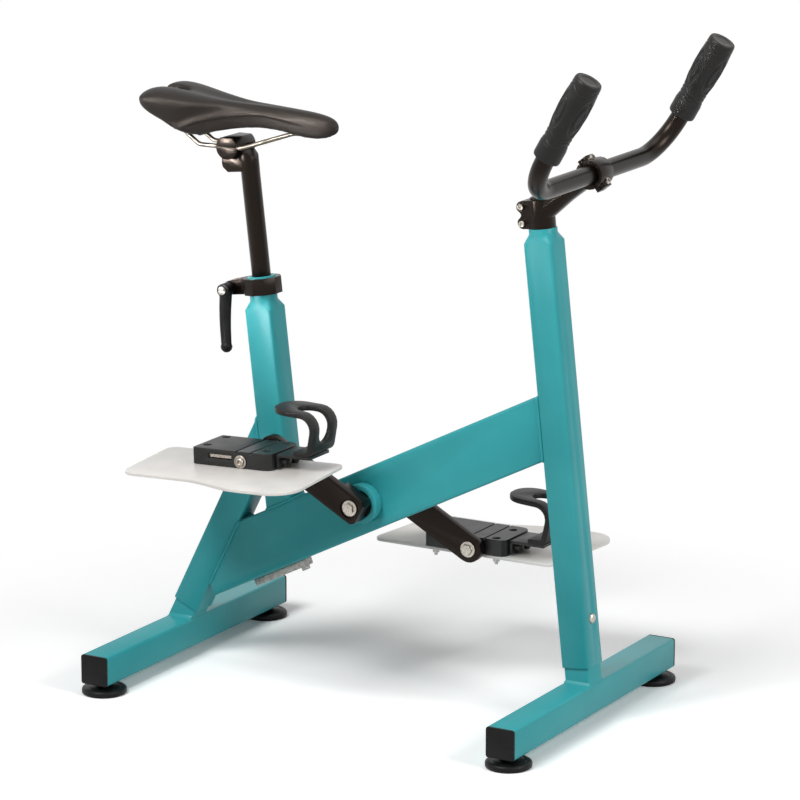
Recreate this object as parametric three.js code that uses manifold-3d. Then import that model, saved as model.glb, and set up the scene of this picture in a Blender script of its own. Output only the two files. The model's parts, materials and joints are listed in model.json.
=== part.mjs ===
// Water exercise bike: two cross bars, a leaning front column, a sloped beam, a seat tube and a rear leg.
// Millimetres, +Z up, +X towards the handlebar, +Y to the rider's left, floor at z = 0.
import * as THREE from 'three';
import { mergeVertices } from 'three/addons/utils/BufferGeometryUtils.js';
import Module from 'manifold-3d';

const wasm = await Module();
wasm.setup();

const degrees = THREE.MathUtils.degToRad;
const { lerp, smoothstep } = THREE.MathUtils;
const { sin, cos, tan, asin, acos, atan2, hypot, min, max, PI, abs, sqrt } = Math;

// Clearances and cuts
const SEAT_GAP = 0.3; // between two pieces that touch
const RUN_GAP = 0.5; // round a piece that turns or slides
const OVERRUN = 6; // how far a cutting tool passes the surface it cuts

// Frame tubes
const TUBE_SIDE = 50;
const TUBE_WALL = 3;
const TUBE_CORNER = 4;
const BAR_SPACING = 760; // between the middles of the two cross bars
const BAR_LENGTH = 560;
const FOOT_HEIGHT = 20; // from the floor to the underside of a cross bar
const SPIGOT_LENGTH = 130; // how far a spigot stands up into its column
const SPIGOT_WALL = 4;
const WELD_LEG = 5;
const COLUMN_LIFT = 27; // from the bar's top to the column's lower end, along the column
const FRONT_LEAN = degrees(6.3);
const FRONT_SQUARE = 719; // from the bar's top to the shoulder, along the column
const SHOULDER = 14; // length over which a square tube is drawn in to its round neck
const NECK_DIAMETER = 46;
const FRONT_NECK = 8;
const REAR_LEAN = degrees(26.6);

// Beam and crank centre
const CRANK_X = -14.6; // crank centre, behind the middle between the bars
const CRANK_Z = 322;
const BEAM_HEIGHT = 100;
const BEAM_SLOPE = degrees(26.7);
const BEAM_TAIL = 353; // from the crank centre back to the beam's square end, along the beam
const SHELL_DIAMETER = 66;
const SHELL_LENGTH = 88;
const BEARING_DIAMETER = 47;
const BEARING_WIDTH = 14;
const BEARING_LIP = 4;
const BEARING_RACE = 4;
const BEARING_GROOVE = 1.5;
const AXLE_DIAMETER = 20;
const AXLE_SQUARE = 14;
const AXLE_SQUARE_LENGTH = 20;

// Seat tube, collar and lever
const SEAT_SETBACK = 162; // from the crank centre back to the seat tube's foot, along the beam
const SEAT_LEAN = degrees(6.5);
const SEAT_SQUARE = 329; // from the beam's top to the shoulder, along the seat tube
const SEAT_NECK = 40;
const SEAT_SLIT = 3;
const POST_DIAMETER = 31.6;
const POST_WALL = 3;
const POST_EXPOSED = 176; // from the seat tube's top to the post's head
const POST_INSERTED = 190;
const COLLAR_HEIGHT = 27;
const COLLAR_WALL = 8;
const COLLAR_DROP = 2; // from the seat tube's top down to the collar's top
const COLLAR_SIDES = 10;
const EAR_THICKNESS = 11;
const EAR_SETBACK = 57; // from the post's axis back to the clamp bolt
const EAR_DROP = 3; // of the clamp bolt below the collar's middle
const EAR_RADIUS = 11;
const CLAMP_BOLT_DIAMETER = 8;
const CLAMP_BOLT_HEAD = 14;
const CLAMP_BOLT_HEAD_HEIGHT = 4;
const LEVER_HUB_DIAMETER = 22;
const LEVER_HUB_LENGTH = 22;
const LEVER_REACH = 97;
const LEVER_BOW = 2; // how far the arm bows backwards
const LEVER_SWING = 0; // of the arm, forwards from hanging straight down
const LEVER_WIDTH = 24;
const LEVER_THICKNESS = 14;
const leverTaperShare = 0.2; // of the arm's width, from hub to ball
const LEVER_BALL = 20;

// Feet, caps and frame bolts
const FOOT_DIAMETER = 75;
const FOOT_DISC = 12;
const FOOT_BEVEL = 3;
const FOOT_NUT = 26;
const FOOT_STUD = 10;
const FOOT_STUD_RISE = 24; // of the stud's end above the bar's underside
const FOOT_INSET = 26; // from the bar's end to the foot's middle
const CAP_FLANGE = 4;
const CAP_PLUG = 14;
const CAP_WALL = 2.5;
const COLUMN_BOLT_RISE = 105; // from the bar's top to the bolt, along the column
const DOME_DIAMETER = 17;
const DOME_HEIGHT = 5;
const FRAME_BOLT = 8;
const FRAME_BOLT_REACH = 6; // beyond the spigot's inner face
const ANODE_LENGTH = 117;
const ANODE_TAIL = 279; // from the crank centre back to the anode's rear end, along the beam
const ANODE_WIDTH = 24;
const ANODE_THICKNESS = 12;
const ANODE_TAPER = 8;
const ANODE_NUT = 14;
const ANODE_NUT_HEIGHT = 6;

// Cranks
const CRANK_LENGTH = 168;
const CRANK_ANGLE = degrees(29); // of the left crank below the horizontal, forwards
const CRANK_FACE = 75; // from the bike's middle to a crank's outer face
const CRANK_THICKNESS = 14;
const CRANK_WIDTH = 46;
const CRANK_HUB_THICKNESS = 28;
const CRANK_HUB_LENGTH = 52;
const CRANK_HEEL = 20; // beyond the crank axle's middle
const CRANK_CHAMFER = 6;
const CRANK_RECESS = 34;
const CRANK_RECESS_DEPTH = 3;
const CRANK_BOLT = 8;
const CRANK_BOLT_GRIP = 14; // of the bolt in the axle
const WASHER_DIAMETER = 27;
const WASHER_THICKNESS = 2;
const HEX_ACROSS = 17;
const HEX_HEIGHT = 6;

// Pedals
const PEDAL_MIDDLE = 126; // from the bike's middle to a pedal's middle
const PEDAL_WIDTH = 92;
const PEDAL_THICKNESS = 28;
const PEDAL_ABOVE = 17; // from the pedal's axle to its top
const PEDAL_REAR = 92; // behind the pedal axle
const PEDAL_FRONT = 58; // ahead of the pedal axle
const PEDAL_CORNER = 14;
const PEDAL_HEEL_CORNER = 4;
const RIGHT_PEDAL_PITCH = degrees(2);
const LEFT_PEDAL_PITCH = 0;
const PEDAL_AXLE = 12;
const PEDAL_GROOVE = 3;
const PEDAL_GROOVE_DEPTH = 2.5;
const PEDAL_GROOVE_REAR = -8; // from the pedal's axle
const PEDAL_GROOVE_FRONT = 20;
const PEDAL_HOLE = 9;
const PEDAL_HOLE_DEPTH = 9;
const PEDAL_HOLE_REAR = -77; // from the pedal's axle
const PEDAL_HOLE_FRONT = 37;
const PEDAL_HOLE_SPREAD = 29; // from the holes' middle line
const PEDAL_HOLE_SHIFT = 6; // of their middle line towards the crank
const WINDOW_REAR = -62; // ends of the side window, from the pedal's axle
const WINDOW_FRONT = -18;
const WINDOW_HEIGHT = 8;
const WINDOW_DEPTH = 9;
const WINDOW_RISE = 5; // of its middle above the axle
const INLAY = 5; // side of the metal bar in the window
const PEDAL_SCREW = 6;
const PEDAL_WASHER = 21;
const PEDAL_SCREW_GRIP = 14;
const PEDAL_DOME = 16;
const PEDAL_DOME_HEIGHT = 4;
const BRACKET_WIDTH = 62;
const BRACKET_THICKNESS = 5;
const BRACKET_DROP = 8; // of the flange's lower edge below the axle
const BRACKET_RISE = 15; // of the plate's top above the axle
const BRACKET_LENGTH = 64;
const BRACKET_CORNER = 3;
const BOSS_DIAMETER = 17;
const BOSS_LENGTH = 9;
const BOSS_SPREAD = 13;
const BOSS_SCREW = 9;
const BOSS_SCREW_HEIGHT = 2;
const TOE_WIDTH = 76;
const TOE_BAND = 9;
const TOE_FOOT = 96; // from the pedal axle to the toe loop's heel
const TOE_KNEE = 124;
const TOE_HEIGHT = 67; // from the bracket's top to the bend at the top
const TOE_LEAN = degrees(12);
const TOE_RETURN = 88;
const TOE_LIFT = 6; // of the loop's free end above the bend
const TOE_BEND = 24;
const TOE_KNEE_BEND = 9;
const TOE_SLOT = 36;
const TOE_SLOT_FOOT = 20; // from the bracket's top to the slot's lower end
const TOE_SLOT_MARGIN = 38; // from the loop's free end to the slot
const TOE_END_ROUND = 34;
const PADDLE_THICKNESS = 5;
const PADDLE_REAR = 172; // behind the pedal axle, at the outer edge
const PADDLE_FRONT = 165;
const PADDLE_SKEW = 22; // how far the inner edge lies further back than the outer one
const PADDLE_INNER = 45; // from the pedal's middle towards the frame
const PADDLE_OUTER_REAR = 140;
const PADDLE_OUTER_FRONT = 170;
const PADDLE_STEP_REAR = -35; // where the outer edge starts to widen, from the axle
const PADDLE_STEP_FRONT = 50;
const PADDLE_STEP_ROUND = 90;
const PADDLE_INNER_CORNER = 16;
const PADDLE_REAR_CORNER = 28;
const PADDLE_FRONT_CORNER = 45;
const PADDLE_NUT = 11;
const PADDLE_NUT_HEIGHT = 6;
const PADDLE_SCREW = 6;
const PADDLE_SCREW_END = 5;

// Saddle, its clamp and rails
const TILT_SETBACK = 23; // from the post's axis back to the tilt axis
const TILT_RISE = 42; // from the post's shoulder up to the tilt axis
const TILT_LIMIT = degrees(12);
const CRADLE_RADIUS = 20;
const CRADLE_THICKNESS = 12;
const CRADLE_SPAN = degrees(66); // of the cradle to each side of straight down
const HEAD_WIDTH = 34;
const HEAD_ROUND = 10;
const CLAMP_WIDTH = 60;
const CLAMP_SPLIT = 1.5;
const CLAMP_TOP = 16; // of the upper clamp above the tilt axis
const SADDLE_BOLT = 6;
const SADDLE_BOLT_HEAD = 11;
const SADDLE_BOLT_HEAD_HEIGHT = 6;
const SADDLE_BOLT_GRIP = 11; // in the upper clamp
const RAIL_DIAMETER = 8;
const RAIL_SPREAD = 22;
const RAIL_STRAIGHT = 82;
const RAIL_BACK = 57; // from the tilt axis back to the end of the straight
const RAIL_TAIL_RUN = 40;
const RAIL_TAIL_RISE = 29;
const RAIL_NOSE_RUN = 99;
const RAIL_NOSE_RISE = 33;
const RAIL_NOSE_SPREAD = 6;
const RAIL_BEND = 18;
const RAIL_NOSE_BEND = 5.5;
const SOCKET_WIDTH = 18;
const SOCKET_LENGTH = 20;
const SOCKET_DROP = 7; // of a socket's underside below the rail's end
const NOSE_SOCKET_LENGTH = 22;
const NOSE_SOCKET_WIDTH = 34;
const NOSE_SOCKET_DROP = 6;
const SADDLE_LENGTH = 346;
const SADDLE_WIDTH = 150;
const SADDLE_RISE = 95; // from the tilt axis to the highest point of the cover
const SADDLE_AHEAD = 196; // from the tilt axis to the nose
const SADDLE_LIP = 5;
const SADDLE_SHELL = 4;
const SADDLE_ARCH = 20; // of the underside's middle above the skirt
const CHANNEL_DEPTH = 7;
const NOTCH_WIDTH = 26;
const NOTCH_LENGTH = 58;

// Stem, handlebar and grips
const STEERER_DIAMETER = 28.6;
const STEERER_WALL = 3;
const STEERER_DEPTH = 60; // below the front column's top
const STEM_CLAMP_HEIGHT = 46;
const STEM_CLAMP_WALL = 7;
const STEM_REACH = 118;
const STEM_RISE = degrees(37.9);
const STEM_WIDTH = 36;
const STEM_HEIGHT = 34;
const STEM_TIP_WIDTH = 34;
const STEM_TIP_HEIGHT = 26;
const STEM_ROUND = 12;
const STEM_SLIT = 3;
const STEM_BOLT = 6;
const STEM_BOLT_SPACING = 27;
const STEM_BOLT_HEAD = 10;
const STEM_BOLT_HEAD_HEIGHT = 5;
const STEM_BOLT_SOCKET = 5;
const STEM_EAR_RADIUS = 9;
const STEM_EAR_WIDTH = 36;
const STEM_EAR_REACH = 4; // of the clamp bolts behind the clamp's rear face
const TOP_CAP_DIAMETER = 34;
const TOP_CAP_HEIGHT = 4;
const TOP_CAP_CROWN = 2;
const TOP_CAP_PLUG = 8;
const HANDLE_DIAMETER = 30;
const HANDLE_WALL = 2.5;
const HANDLE_CLAMP_WALL = 8;
const HANDLE_CLAMP_WIDTH = 42;
const FACE_SPLIT = 1.5;
const FACE_BOLT_SPREAD = 22; // from the handlebar's axis to a faceplate bolt
const FACE_PAD = 14;
const FACE_PAD_DEPTH = 9;
const HANDLE_HALF_WIDTH = 232;
const HANDLE_BEND = 72;
const HANDLE_LEAN = degrees(29.9); // of the grips, forwards from the vertical
const GRIP_START = 73; // from the handlebar's corner to the grip
const GRIP_LENGTH = 142;
const GRIP_CUFF = 44;
const GRIP_WAIST = 41;
const GRIP_SWELL = 49;
const GRIP_END = 45;
const GRIP_END_WALL = 6;
const GRIP_RIM = 3;

// Facets
const ROUND = 20;
const WIRE_SIDES = 10;
const SMALL_ROUND = 12;
const CORNER_STEPS = 3;
const BEND_STEPS = 6;
const FLAT_STEPS = 6;

// Finishes: colour, roughness, metalness
const FINISHES = {
  turquoise: [0x58b4ba, 0.38, 0.1],
  black_plastic: [0x1c1c1d, 0.55, 0],
  black_metal: [0x171514, 0.35, 0.6],
  rubber: [0x202224, 0.85, 0],
  steel: [0xb9b6b0, 0.3, 1],
  zinc: [0x9c9995, 0.55, 0.9],
  nylon: [0xe9e6e2, 0.5, 0],
  cover: [0x1b1b1c, 0.6, 0],
};

// Sizes that follow from the driving ones
const HALF_TUBE = TUBE_SIDE / 2;
const TUBE_BORE = TUBE_SIDE - 2 * TUBE_WALL;
const BORE_CORNER = TUBE_CORNER - TUBE_WALL;
const BAR_TOP = FOOT_HEIGHT + TUBE_SIDE;
const BAR_MIDDLE = FOOT_HEIGHT + HALF_TUBE;
const SPIGOT_SIDE = TUBE_BORE - 2 * SEAT_GAP;
const SPIGOT_BORE = SPIGOT_SIDE - 2 * SPIGOT_WALL;
const SEAT_TOP = SEAT_SQUARE + SHOULDER + SEAT_NECK; // along the seat tube, from its foot
const FRONT_TOP = FRONT_SQUARE + SHOULDER + FRONT_NECK; // along the front column, from the bar's top
const STEERER_SOCKET = STEERER_DIAMETER + 2 * SEAT_GAP;
const POST_SOCKET = POST_DIAMETER + 2 * SEAT_GAP;
const COLLAR_BORE = NECK_DIAMETER + 2 * SEAT_GAP;
const COLLAR_ACROSS = COLLAR_BORE + 2 * COLLAR_WALL;
const COLLAR_MIDDLE = SEAT_TOP - COLLAR_DROP - COLLAR_HEIGHT / 2;
const EAR_FACE = SEAT_SLIT / 2 + EAR_THICKNESS;
const LEVER_MIDDLE = EAR_FACE + RUN_GAP + LEVER_HUB_LENGTH / 2;
const CRANK_INNER = CRANK_FACE - CRANK_THICKNESS;
const HUB_INNER = CRANK_FACE - CRANK_HUB_THICKNESS;
const CRANK_BOLT_HOLE = CRANK_BOLT + 2 * SEAT_GAP;
const PEDAL_BELOW = PEDAL_THICKNESS - PEDAL_ABOVE;
const TILT_HEIGHT = SEAT_TOP + POST_EXPOSED + TILT_RISE;
const CLAMP_RADIUS = CRADLE_RADIUS - SEAT_GAP;
const SADDLE_BOLT_HOLE = SADDLE_BOLT + 2 * SEAT_GAP;
const STEM_BOLT_HOLE = STEM_BOLT + 2 * SEAT_GAP;
const STEM_CLAMP_DIAMETER = STEERER_SOCKET + 2 * STEM_CLAMP_WALL;
const STEM_MIDDLE = SEAT_GAP + STEM_CLAMP_HEIGHT / 2;
const STEM_BOLT_X = -STEM_CLAMP_DIAMETER / 2 - STEM_EAR_REACH;
const BAR_CLAMP_DIAMETER = HANDLE_DIAMETER + 2 * (SEAT_GAP + HANDLE_CLAMP_WALL);

// Solids: every form below is a closed BufferGeometry, and these join and cut them

function merged(geometry) {
  const bare = new THREE.BufferGeometry();
  bare.setAttribute('position', geometry.getAttribute('position').clone());
  if (geometry.index) bare.setIndex(geometry.index.clone());
  const whole = mergeVertices(bare);
  const kept = [];
  for (let i = 0; i < whole.index.count; i += 3) {
    const [a, b, c] = [0, 1, 2].map((k) => whole.index.getX(i + k));
    if (a !== b && b !== c && c !== a) kept.push(a, b, c);
  }
  whole.setIndex(kept);
  return whole;
}

// Turns a closed skin whose faces point inwards the right way round
function outward(geometry) {
  const [p, order] = [geometry.getAttribute('position'), geometry.index.array];
  const corner = (i) => new THREE.Vector3().fromBufferAttribute(p, order[i]);
  let volume = 0;
  for (let i = 0; i < order.length; i += 3) volume += corner(i).dot(corner(i + 1).cross(corner(i + 2)));
  for (let i = 0; volume < 0 && i < order.length; i += 3) {
    [order[i], order[i + 1]] = [order[i + 1], order[i]];
  }
  return geometry;
}

function toSolid(geometry) {
  const skin = outward(merged(geometry));
  return new wasm.Manifold(new wasm.Mesh({
    numProp: 3,
    vertProperties: new Float32Array(skin.getAttribute('position').array),
    triVerts: new Uint32Array(skin.index.array),
  }));
}

function fromSolid(solid) {
  const mesh = solid.getMesh();
  const geometry = new THREE.BufferGeometry();
  geometry.setAttribute('position', new THREE.BufferAttribute(new Float32Array(mesh.vertProperties), 3));
  geometry.setIndex(new THREE.BufferAttribute(new Uint32Array(mesh.triVerts), 1));
  return geometry;
}

function combine(method, first, others) {
  return fromSolid(others.reduce((sum, other) => sum[method](toSolid(other)), toSolid(first)));
}

const join = (first, ...others) => combine('add', first, others);
const cut = (first, ...others) => combine('subtract', first, others);
const common = (first, ...others) => combine('intersect', first, others);

const moved = (geometry, x, y, z) => geometry.clone().translate(x, y, z);

function turned(geometry, rx, ry, rz) {
  const turn = new THREE.Matrix4().makeRotationFromEuler(new THREE.Euler(rx, ry, rz, 'ZYX'));
  return geometry.clone().applyMatrix4(turn);
}

const mirrored = (geometry) => geometry.clone().applyMatrix4(new THREE.Matrix4().makeScale(1, -1, 1));

// A geometry drawn in one carrier's frame, as another carrier sees it
const seenFrom = (target, source, geometry) => geometry.clone()
  .applyMatrix4(source.matrixWorld).applyMatrix4(target.matrixWorld.clone().invert());

// Outlines

// Points of a line whose corners are [x, y, radius]
function roundedPath(corners, closed, steps) {
  const at = (i) => new THREE.Vector2(...corners[(i + corners.length) % corners.length].slice(0, 2));
  return corners.flatMap(([x, y, radius = 0], i) => {
    const here = new THREE.Vector2(x, y);
    if (!radius || (!closed && (i === 0 || i === corners.length - 1))) return [here];
    const back = at(i - 1).sub(here).normalize();
    const on = at(i + 1).sub(here).normalize();
    const half = acos(THREE.MathUtils.clamp(back.dot(on), -1, 1)) / 2;
    const hub = here.clone().addScaledVector(back.clone().add(on).normalize(), radius / sin(half));
    const first = here.clone().addScaledVector(back, radius / tan(half)).sub(hub);
    const last = here.clone().addScaledVector(on, radius / tan(half)).sub(hub);
    const turn = atan2(first.cross(last), first.dot(last));
    return Array.from({ length: steps + 1 }, (_, k) => first.clone()
      .rotateAround(new THREE.Vector2(), turn * k / steps).add(hub));
  });
}

const polygon = (corners, steps = CORNER_STEPS) => new THREE.Shape(roundedPath(corners, true, steps));

function rectangleCorners(width, height, corner) {
  const [w, h] = [width / 2, height / 2];
  return [[-w, -h, corner], [w, -h, corner], [w, h, corner], [-w, h, corner]];
}

const rectangle = (width, height, corner, steps) => polygon(rectangleCorners(width, height, corner), steps);

function disc(diameter, segments = ROUND) {
  const radius = diameter / 2;
  return new THREE.Shape(Array.from({ length: segments }, (_, k) => new THREE.Vector2(
    radius * cos(2 * PI * k / segments), radius * sin(2 * PI * k / segments))));
}

const hexagon = (across) => disc(across / cos(PI / 6), 6);

// A strip of even thickness along a bent line
function strip(corners, thickness) {
  const line = roundedPath(corners, false, BEND_STEPS);
  const side = (offset) => line.map((p, i) => {
    const along = line[min(i + 1, line.length - 1)].clone().sub(line[max(i - 1, 0)]).normalize();
    return new THREE.Vector2(p.x - along.y * offset, p.y + along.x * offset);
  });
  return new THREE.Shape([...side(thickness / 2), ...side(-thickness / 2).reverse()]);
}

// A sector of a ring about the origin, with angles from +x
function sector(inner, outer, from, to) {
  const arc = (radius) => Array.from({ length: BEND_STEPS + 1 }, (_, k) => {
    const angle = lerp(from, to, k / BEND_STEPS);
    return new THREE.Vector2(radius * cos(angle), radius * sin(angle));
  });
  return new THREE.Shape([...arc(outer), ...arc(inner).reverse()]);
}

// Basic forms

const block = (x, y, z) => new THREE.BoxGeometry(x, y, z);

// A prism over an outline, standing on z = 0
const prism = (outline, height) => new THREE.ExtrudeGeometry(outline, { depth: height, bevelEnabled: false });

// A prism over an outline drawn in x and z, centred on y = 0
const sidePrism = (outline, width) => turned(prism(outline, width), PI / 2, 0, 0).translate(0, width / 2, 0);

// A prism over an outline drawn in y and z, from x = 0 forwards
const frontPrism = (outline, length) => turned(turned(prism(outline, length), PI / 2, 0, 0), 0, 0, PI / 2);

// A body of revolution about +Z through [radius, z] points
function revolve(points, segments = ROUND) {
  const profile = points.map(([radius, z]) => new THREE.Vector2(radius, z));
  return new THREE.LatheGeometry(profile, segments).rotateX(PI / 2);
}

// A rod along +Z from z = 0, and the same laid along +X, along +Y or centred along Y
const rod = (diameter, length, segments = ROUND) => prism(disc(diameter, segments), length);
const forwards = (geometry) => turned(geometry, 0, PI / 2, 0);
const leftwards = (geometry) => turned(geometry, -PI / 2, 0, 0);
const crossRod = (diameter, length, segments = ROUND) =>
  leftwards(rod(diameter, length, segments)).translate(0, -length / 2, 0);

// Triangles that close a flat ring, by a fan about its middle or, on a hollow section, ear by ear
function capFaces(ring, hub, hollow) {
  const next = (i) => (i + 1) % ring.length;
  if (!hollow) return ring.map((_, i) => [hub, i, next(i)]);
  const faces = THREE.ShapeUtils.triangulateShape(ring.map((p) => new THREE.Vector2(p.y, p.z)), []);
  const inOrder = faces.some(([a, b, c]) => next(a) === b || next(b) === c || next(c) === a);
  return inOrder ? faces : faces.map(([a, b, c]) => [a, c, b]);
}

// A closed skin through rings of equal count
function loft(rings, hollow = false) {
  const count = rings[0].length;
  const points = rings.flat();
  const indices = [];
  for (let r = 0; r + 1 < rings.length; r += 1) {
    for (let i = 0; i < count; i += 1) {
      const [a, b] = [r * count + i, r * count + (i + 1) % count];
      indices.push(a, b, b + count, a, b + count, a + count);
    }
  }
  for (const r of [0, rings.length - 1]) {
    const middle = rings[r].reduce((sum, p) => sum.add(p), new THREE.Vector3()).divideScalar(count);
    const hub = hollow ? 0 : points.push(middle) - 1 - r * count;
    for (const face of capFaces(rings[r], hub, hollow)) {
      const [a, b, c] = face.map((i) => i + r * count);
      indices.push(...(r === 0 ? [a, c, b] : [a, b, c]));
    }
  }
  const geometry = new THREE.BufferGeometry().setFromPoints(points);
  geometry.setIndex(indices);
  return geometry;
}

// Centres of a bent line in space whose corners are [x, y, z, radius]
function bentLine(corners) {
  const points = corners.map(([x, y, z]) => new THREE.Vector3(x, y, z));
  return points.flatMap((p, i) => {
    const radius = corners[i][3];
    if (i === 0 || i === points.length - 1) return [p];
    const into = p.clone().sub(points[i - 1]).normalize();
    const out = points[i + 1].clone().sub(p).normalize();
    const turn = into.angleTo(out);
    const start = p.clone().addScaledVector(into, -radius * tan(turn / 2));
    const inward = out.clone().addScaledVector(into, -into.dot(out)).normalize();
    return Array.from({ length: BEND_STEPS + 1 }, (_, k) => start.clone()
      .addScaledVector(inward, radius * (1 - cos(turn * k / BEND_STEPS)))
      .addScaledVector(into, radius * sin(turn * k / BEND_STEPS)));
  });
}

// A round bar along a bent line, its rings carried along without twist
function bentRod(corners, diameter, segments = WIRE_SIDES) {
  const centres = bentLine(corners);
  const heading = (i) => centres[min(i + 1, centres.length - 1)].clone()
    .sub(centres[max(i - 1, 0)]).normalize();
  let side = abs(heading(0).z) > sqrt(1 / 2) ? new THREE.Vector3(1, 0, 0) : new THREE.Vector3(0, 0, 1);
  return loft(centres.map((centre, i) => {
    const along = heading(i);
    side = side.clone().addScaledVector(along, -side.dot(along)).normalize();
    const up = along.clone().cross(side);
    return Array.from({ length: segments }, (_, k) => centre.clone()
      .addScaledVector(side, diameter / 2 * cos(2 * PI * k / segments))
      .addScaledVector(up, diameter / 2 * sin(2 * PI * k / segments)));
  }));
}

// Distance from the middle of a square with rounded corners to its edge, at an angle from one flat's middle
function squareReach(half, corner, angle) {
  const [c, s] = [cos(angle), abs(sin(angle))];
  if (half * s / c <= half - corner) return half / c;
  const along = (half - corner) * (c + s);
  return along + sqrt(corner ** 2 - 2 * (half - corner) ** 2 + along ** 2);
}

// A ring that passes from the square tube's section (share 0) to a round one (share 1)
function neckRing(share, z) {
  const edge = atan2(HALF_TUBE - TUBE_CORNER, HALF_TUBE);
  const angles = Array.from({ length: FLAT_STEPS + 1 }, (_, k) => edge * (2 * k / FLAT_STEPS - 1));
  return [0, 1, 2, 3].flatMap((quarter) => [...angles, PI / 4].map((angle) => {
    const radius = lerp(squareReach(HALF_TUBE, TUBE_CORNER, angle), NECK_DIAMETER / 2, share);
    const turn = angle + quarter * PI / 2;
    return new THREE.Vector3(radius * cos(turn), radius * sin(turn), z);
  }));
}

function rectangleRing(x, halfX, halfY, z) {
  return [[-1, -1], [1, -1], [1, 1], [-1, 1]].map(([i, j]) => new THREE.Vector3(x + i * halfX, j * halfY, z));
}

// Everything ahead of, behind or below a plane of a carrier's frame
const ahead = (x) => moved(block(BAR_SPACING, BAR_LENGTH, 2 * BAR_SPACING), x + BAR_SPACING / 2, 0, 0);
const behind = (x) => moved(block(BAR_SPACING, BAR_LENGTH, 2 * BAR_SPACING), x - BAR_SPACING / 2, 0, 0);
const below = (z) => moved(block(2 * BAR_SPACING, BAR_LENGTH, BAR_SPACING), 0, 0, z - BAR_SPACING / 2);

// A cap screw along +Z: its head's underside is at z = 0 and its shank goes down
function capScrew(shank, grip, head, headHeight, socket) {
  const stem = moved(rod(shank, grip + headHeight / 2, SMALL_ROUND), 0, 0, -grip);
  const recess = moved(prism(hexagon(socket), headHeight), 0, 0, headHeight / 2);
  return cut(join(rod(head, headHeight, SMALL_ROUND), stem), recess);
}

// A hexagon bolt with a washer under its head
function hexBolt(shank, grip) {
  return join(
    rod(WASHER_DIAMETER, WASHER_THICKNESS),
    moved(prism(hexagon(HEX_ACROSS), HEX_HEIGHT), 0, 0, WASHER_THICKNESS),
    moved(rod(shank, grip + WASHER_THICKNESS, SMALL_ROUND), 0, 0, -grip),
  );
}

// A domed screw
function domeBolt(shank, grip, head, headHeight) {
  const [r, s] = [head / 2, shank / 2];
  const dome = [0, 1, 2, 3].map((k) => [r * cos(k * PI / 8), headHeight * sin(k * PI / 8)]);
  return revolve([[0, -grip], [s, -grip], [s, 0], ...dome, [0, headHeight]], SMALL_ROUND);
}

// Carriers: each is placed once, and its pieces are drawn about its own origin
const bike = new THREE.Group();

function carrier(parent, x, y, z, ry = 0) {
  const group = new THREE.Group();
  group.position.set(x, y, z);
  group.rotation.y = ry;
  parent.add(group);
  return group;
}

const crankRun = CRANK_LENGTH * cos(CRANK_ANGLE);
const crankDrop = CRANK_LENGTH * sin(CRANK_ANGLE);
const frontBar = carrier(bike, BAR_SPACING / 2, 0, 0);
const rearBar = carrier(bike, -BAR_SPACING / 2, 0, 0);
const frontColumn = carrier(frontBar, 0, 0, BAR_TOP, -FRONT_LEAN);
const rearLeg = carrier(rearBar, 0, 0, BAR_TOP, REAR_LEAN);
const beam = carrier(bike, CRANK_X, 0, CRANK_Z, -BEAM_SLOPE);
const seatTube = carrier(beam, -SEAT_SETBACK, 0, BEAM_HEIGHT / 2, BEAM_SLOPE - SEAT_LEAN);
const leverPivot = carrier(seatTube, -EAR_SETBACK, 0, COLLAR_MIDDLE - EAR_DROP, SEAT_LEAN - LEVER_SWING);
const saddle = carrier(seatTube, -TILT_SETBACK, 0, TILT_HEIGHT, SEAT_LEAN);
const steerer = carrier(frontColumn, 0, 0, FRONT_TOP);
const stemArm = carrier(steerer, 0, 0, STEM_MIDDLE, FRONT_LEAN - STEM_RISE);
const handle = carrier(stemArm, STEM_REACH, 0, 0, STEM_RISE + HANDLE_LEAN);
const crankset = carrier(bike, CRANK_X, 0, CRANK_Z);
const leftCrank = carrier(crankset, 0, 0, 0, CRANK_ANGLE);
const rightCrank = carrier(crankset, 0, 0, 0, CRANK_ANGLE + PI);
const leftPedal = carrier(crankset, crankRun, PEDAL_MIDDLE, -crankDrop, -LEFT_PEDAL_PITCH);
const rightPedal = carrier(crankset, -crankRun, -PEDAL_MIDDLE, crankDrop, -RIGHT_PEDAL_PITCH);
bike.updateMatrixWorld(true);

function add(parent, name, geometry, finish) {
  const [color, roughness, metalness] = FINISHES[finish];
  const whole = fromSolid(toSolid(geometry));
  whole.computeVertexNormals();
  const mesh = new THREE.Mesh(whole, new THREE.MeshStandardMaterial({ color, roughness, metalness }));
  mesh.name = name;
  parent.add(mesh);
}

// Base

const tubeOutline = () => rectangle(TUBE_SIDE, TUBE_SIDE, TUBE_CORNER);
const boreOutline = () => rectangle(TUBE_BORE, TUBE_BORE, BORE_CORNER, 1);

// A prism laid across the bike at a cross bar's height
function across(outline, length) {
  return turned(moved(prism(outline, length), 0, 0, -length / 2), PI / 2, 0, 0).translate(0, 0, BAR_MIDDLE);
}

// Hole for the bolt that pins a column to its spigot, on the side away from the bike's middle
function columnBoltHole(lean) {
  const hole = forwards(rod(FRAME_BOLT + 2 * SEAT_GAP, TUBE_SIDE, SMALL_ROUND));
  return moved(lean < 0 ? hole : turned(hole, 0, PI, 0), 0, 0, COLUMN_BOLT_RISE);
}

// Hollow stub that a column slides over, drawn in the column's frame
function spigot(lean) {
  const sunk = TUBE_WALL + HALF_TUBE * tan(abs(lean));
  const stub = moved(prism(rectangle(SPIGOT_SIDE, SPIGOT_SIDE, BORE_CORNER, 1), SPIGOT_LENGTH + sunk),
    0, 0, -sunk);
  const bore = prism(rectangle(SPIGOT_BORE, SPIGOT_BORE, BORE_CORNER, 1), SPIGOT_LENGTH);
  return cut(stub, moved(bore, 0, 0, sunk + SPIGOT_WALL), columnBoltHole(lean));
}

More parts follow.
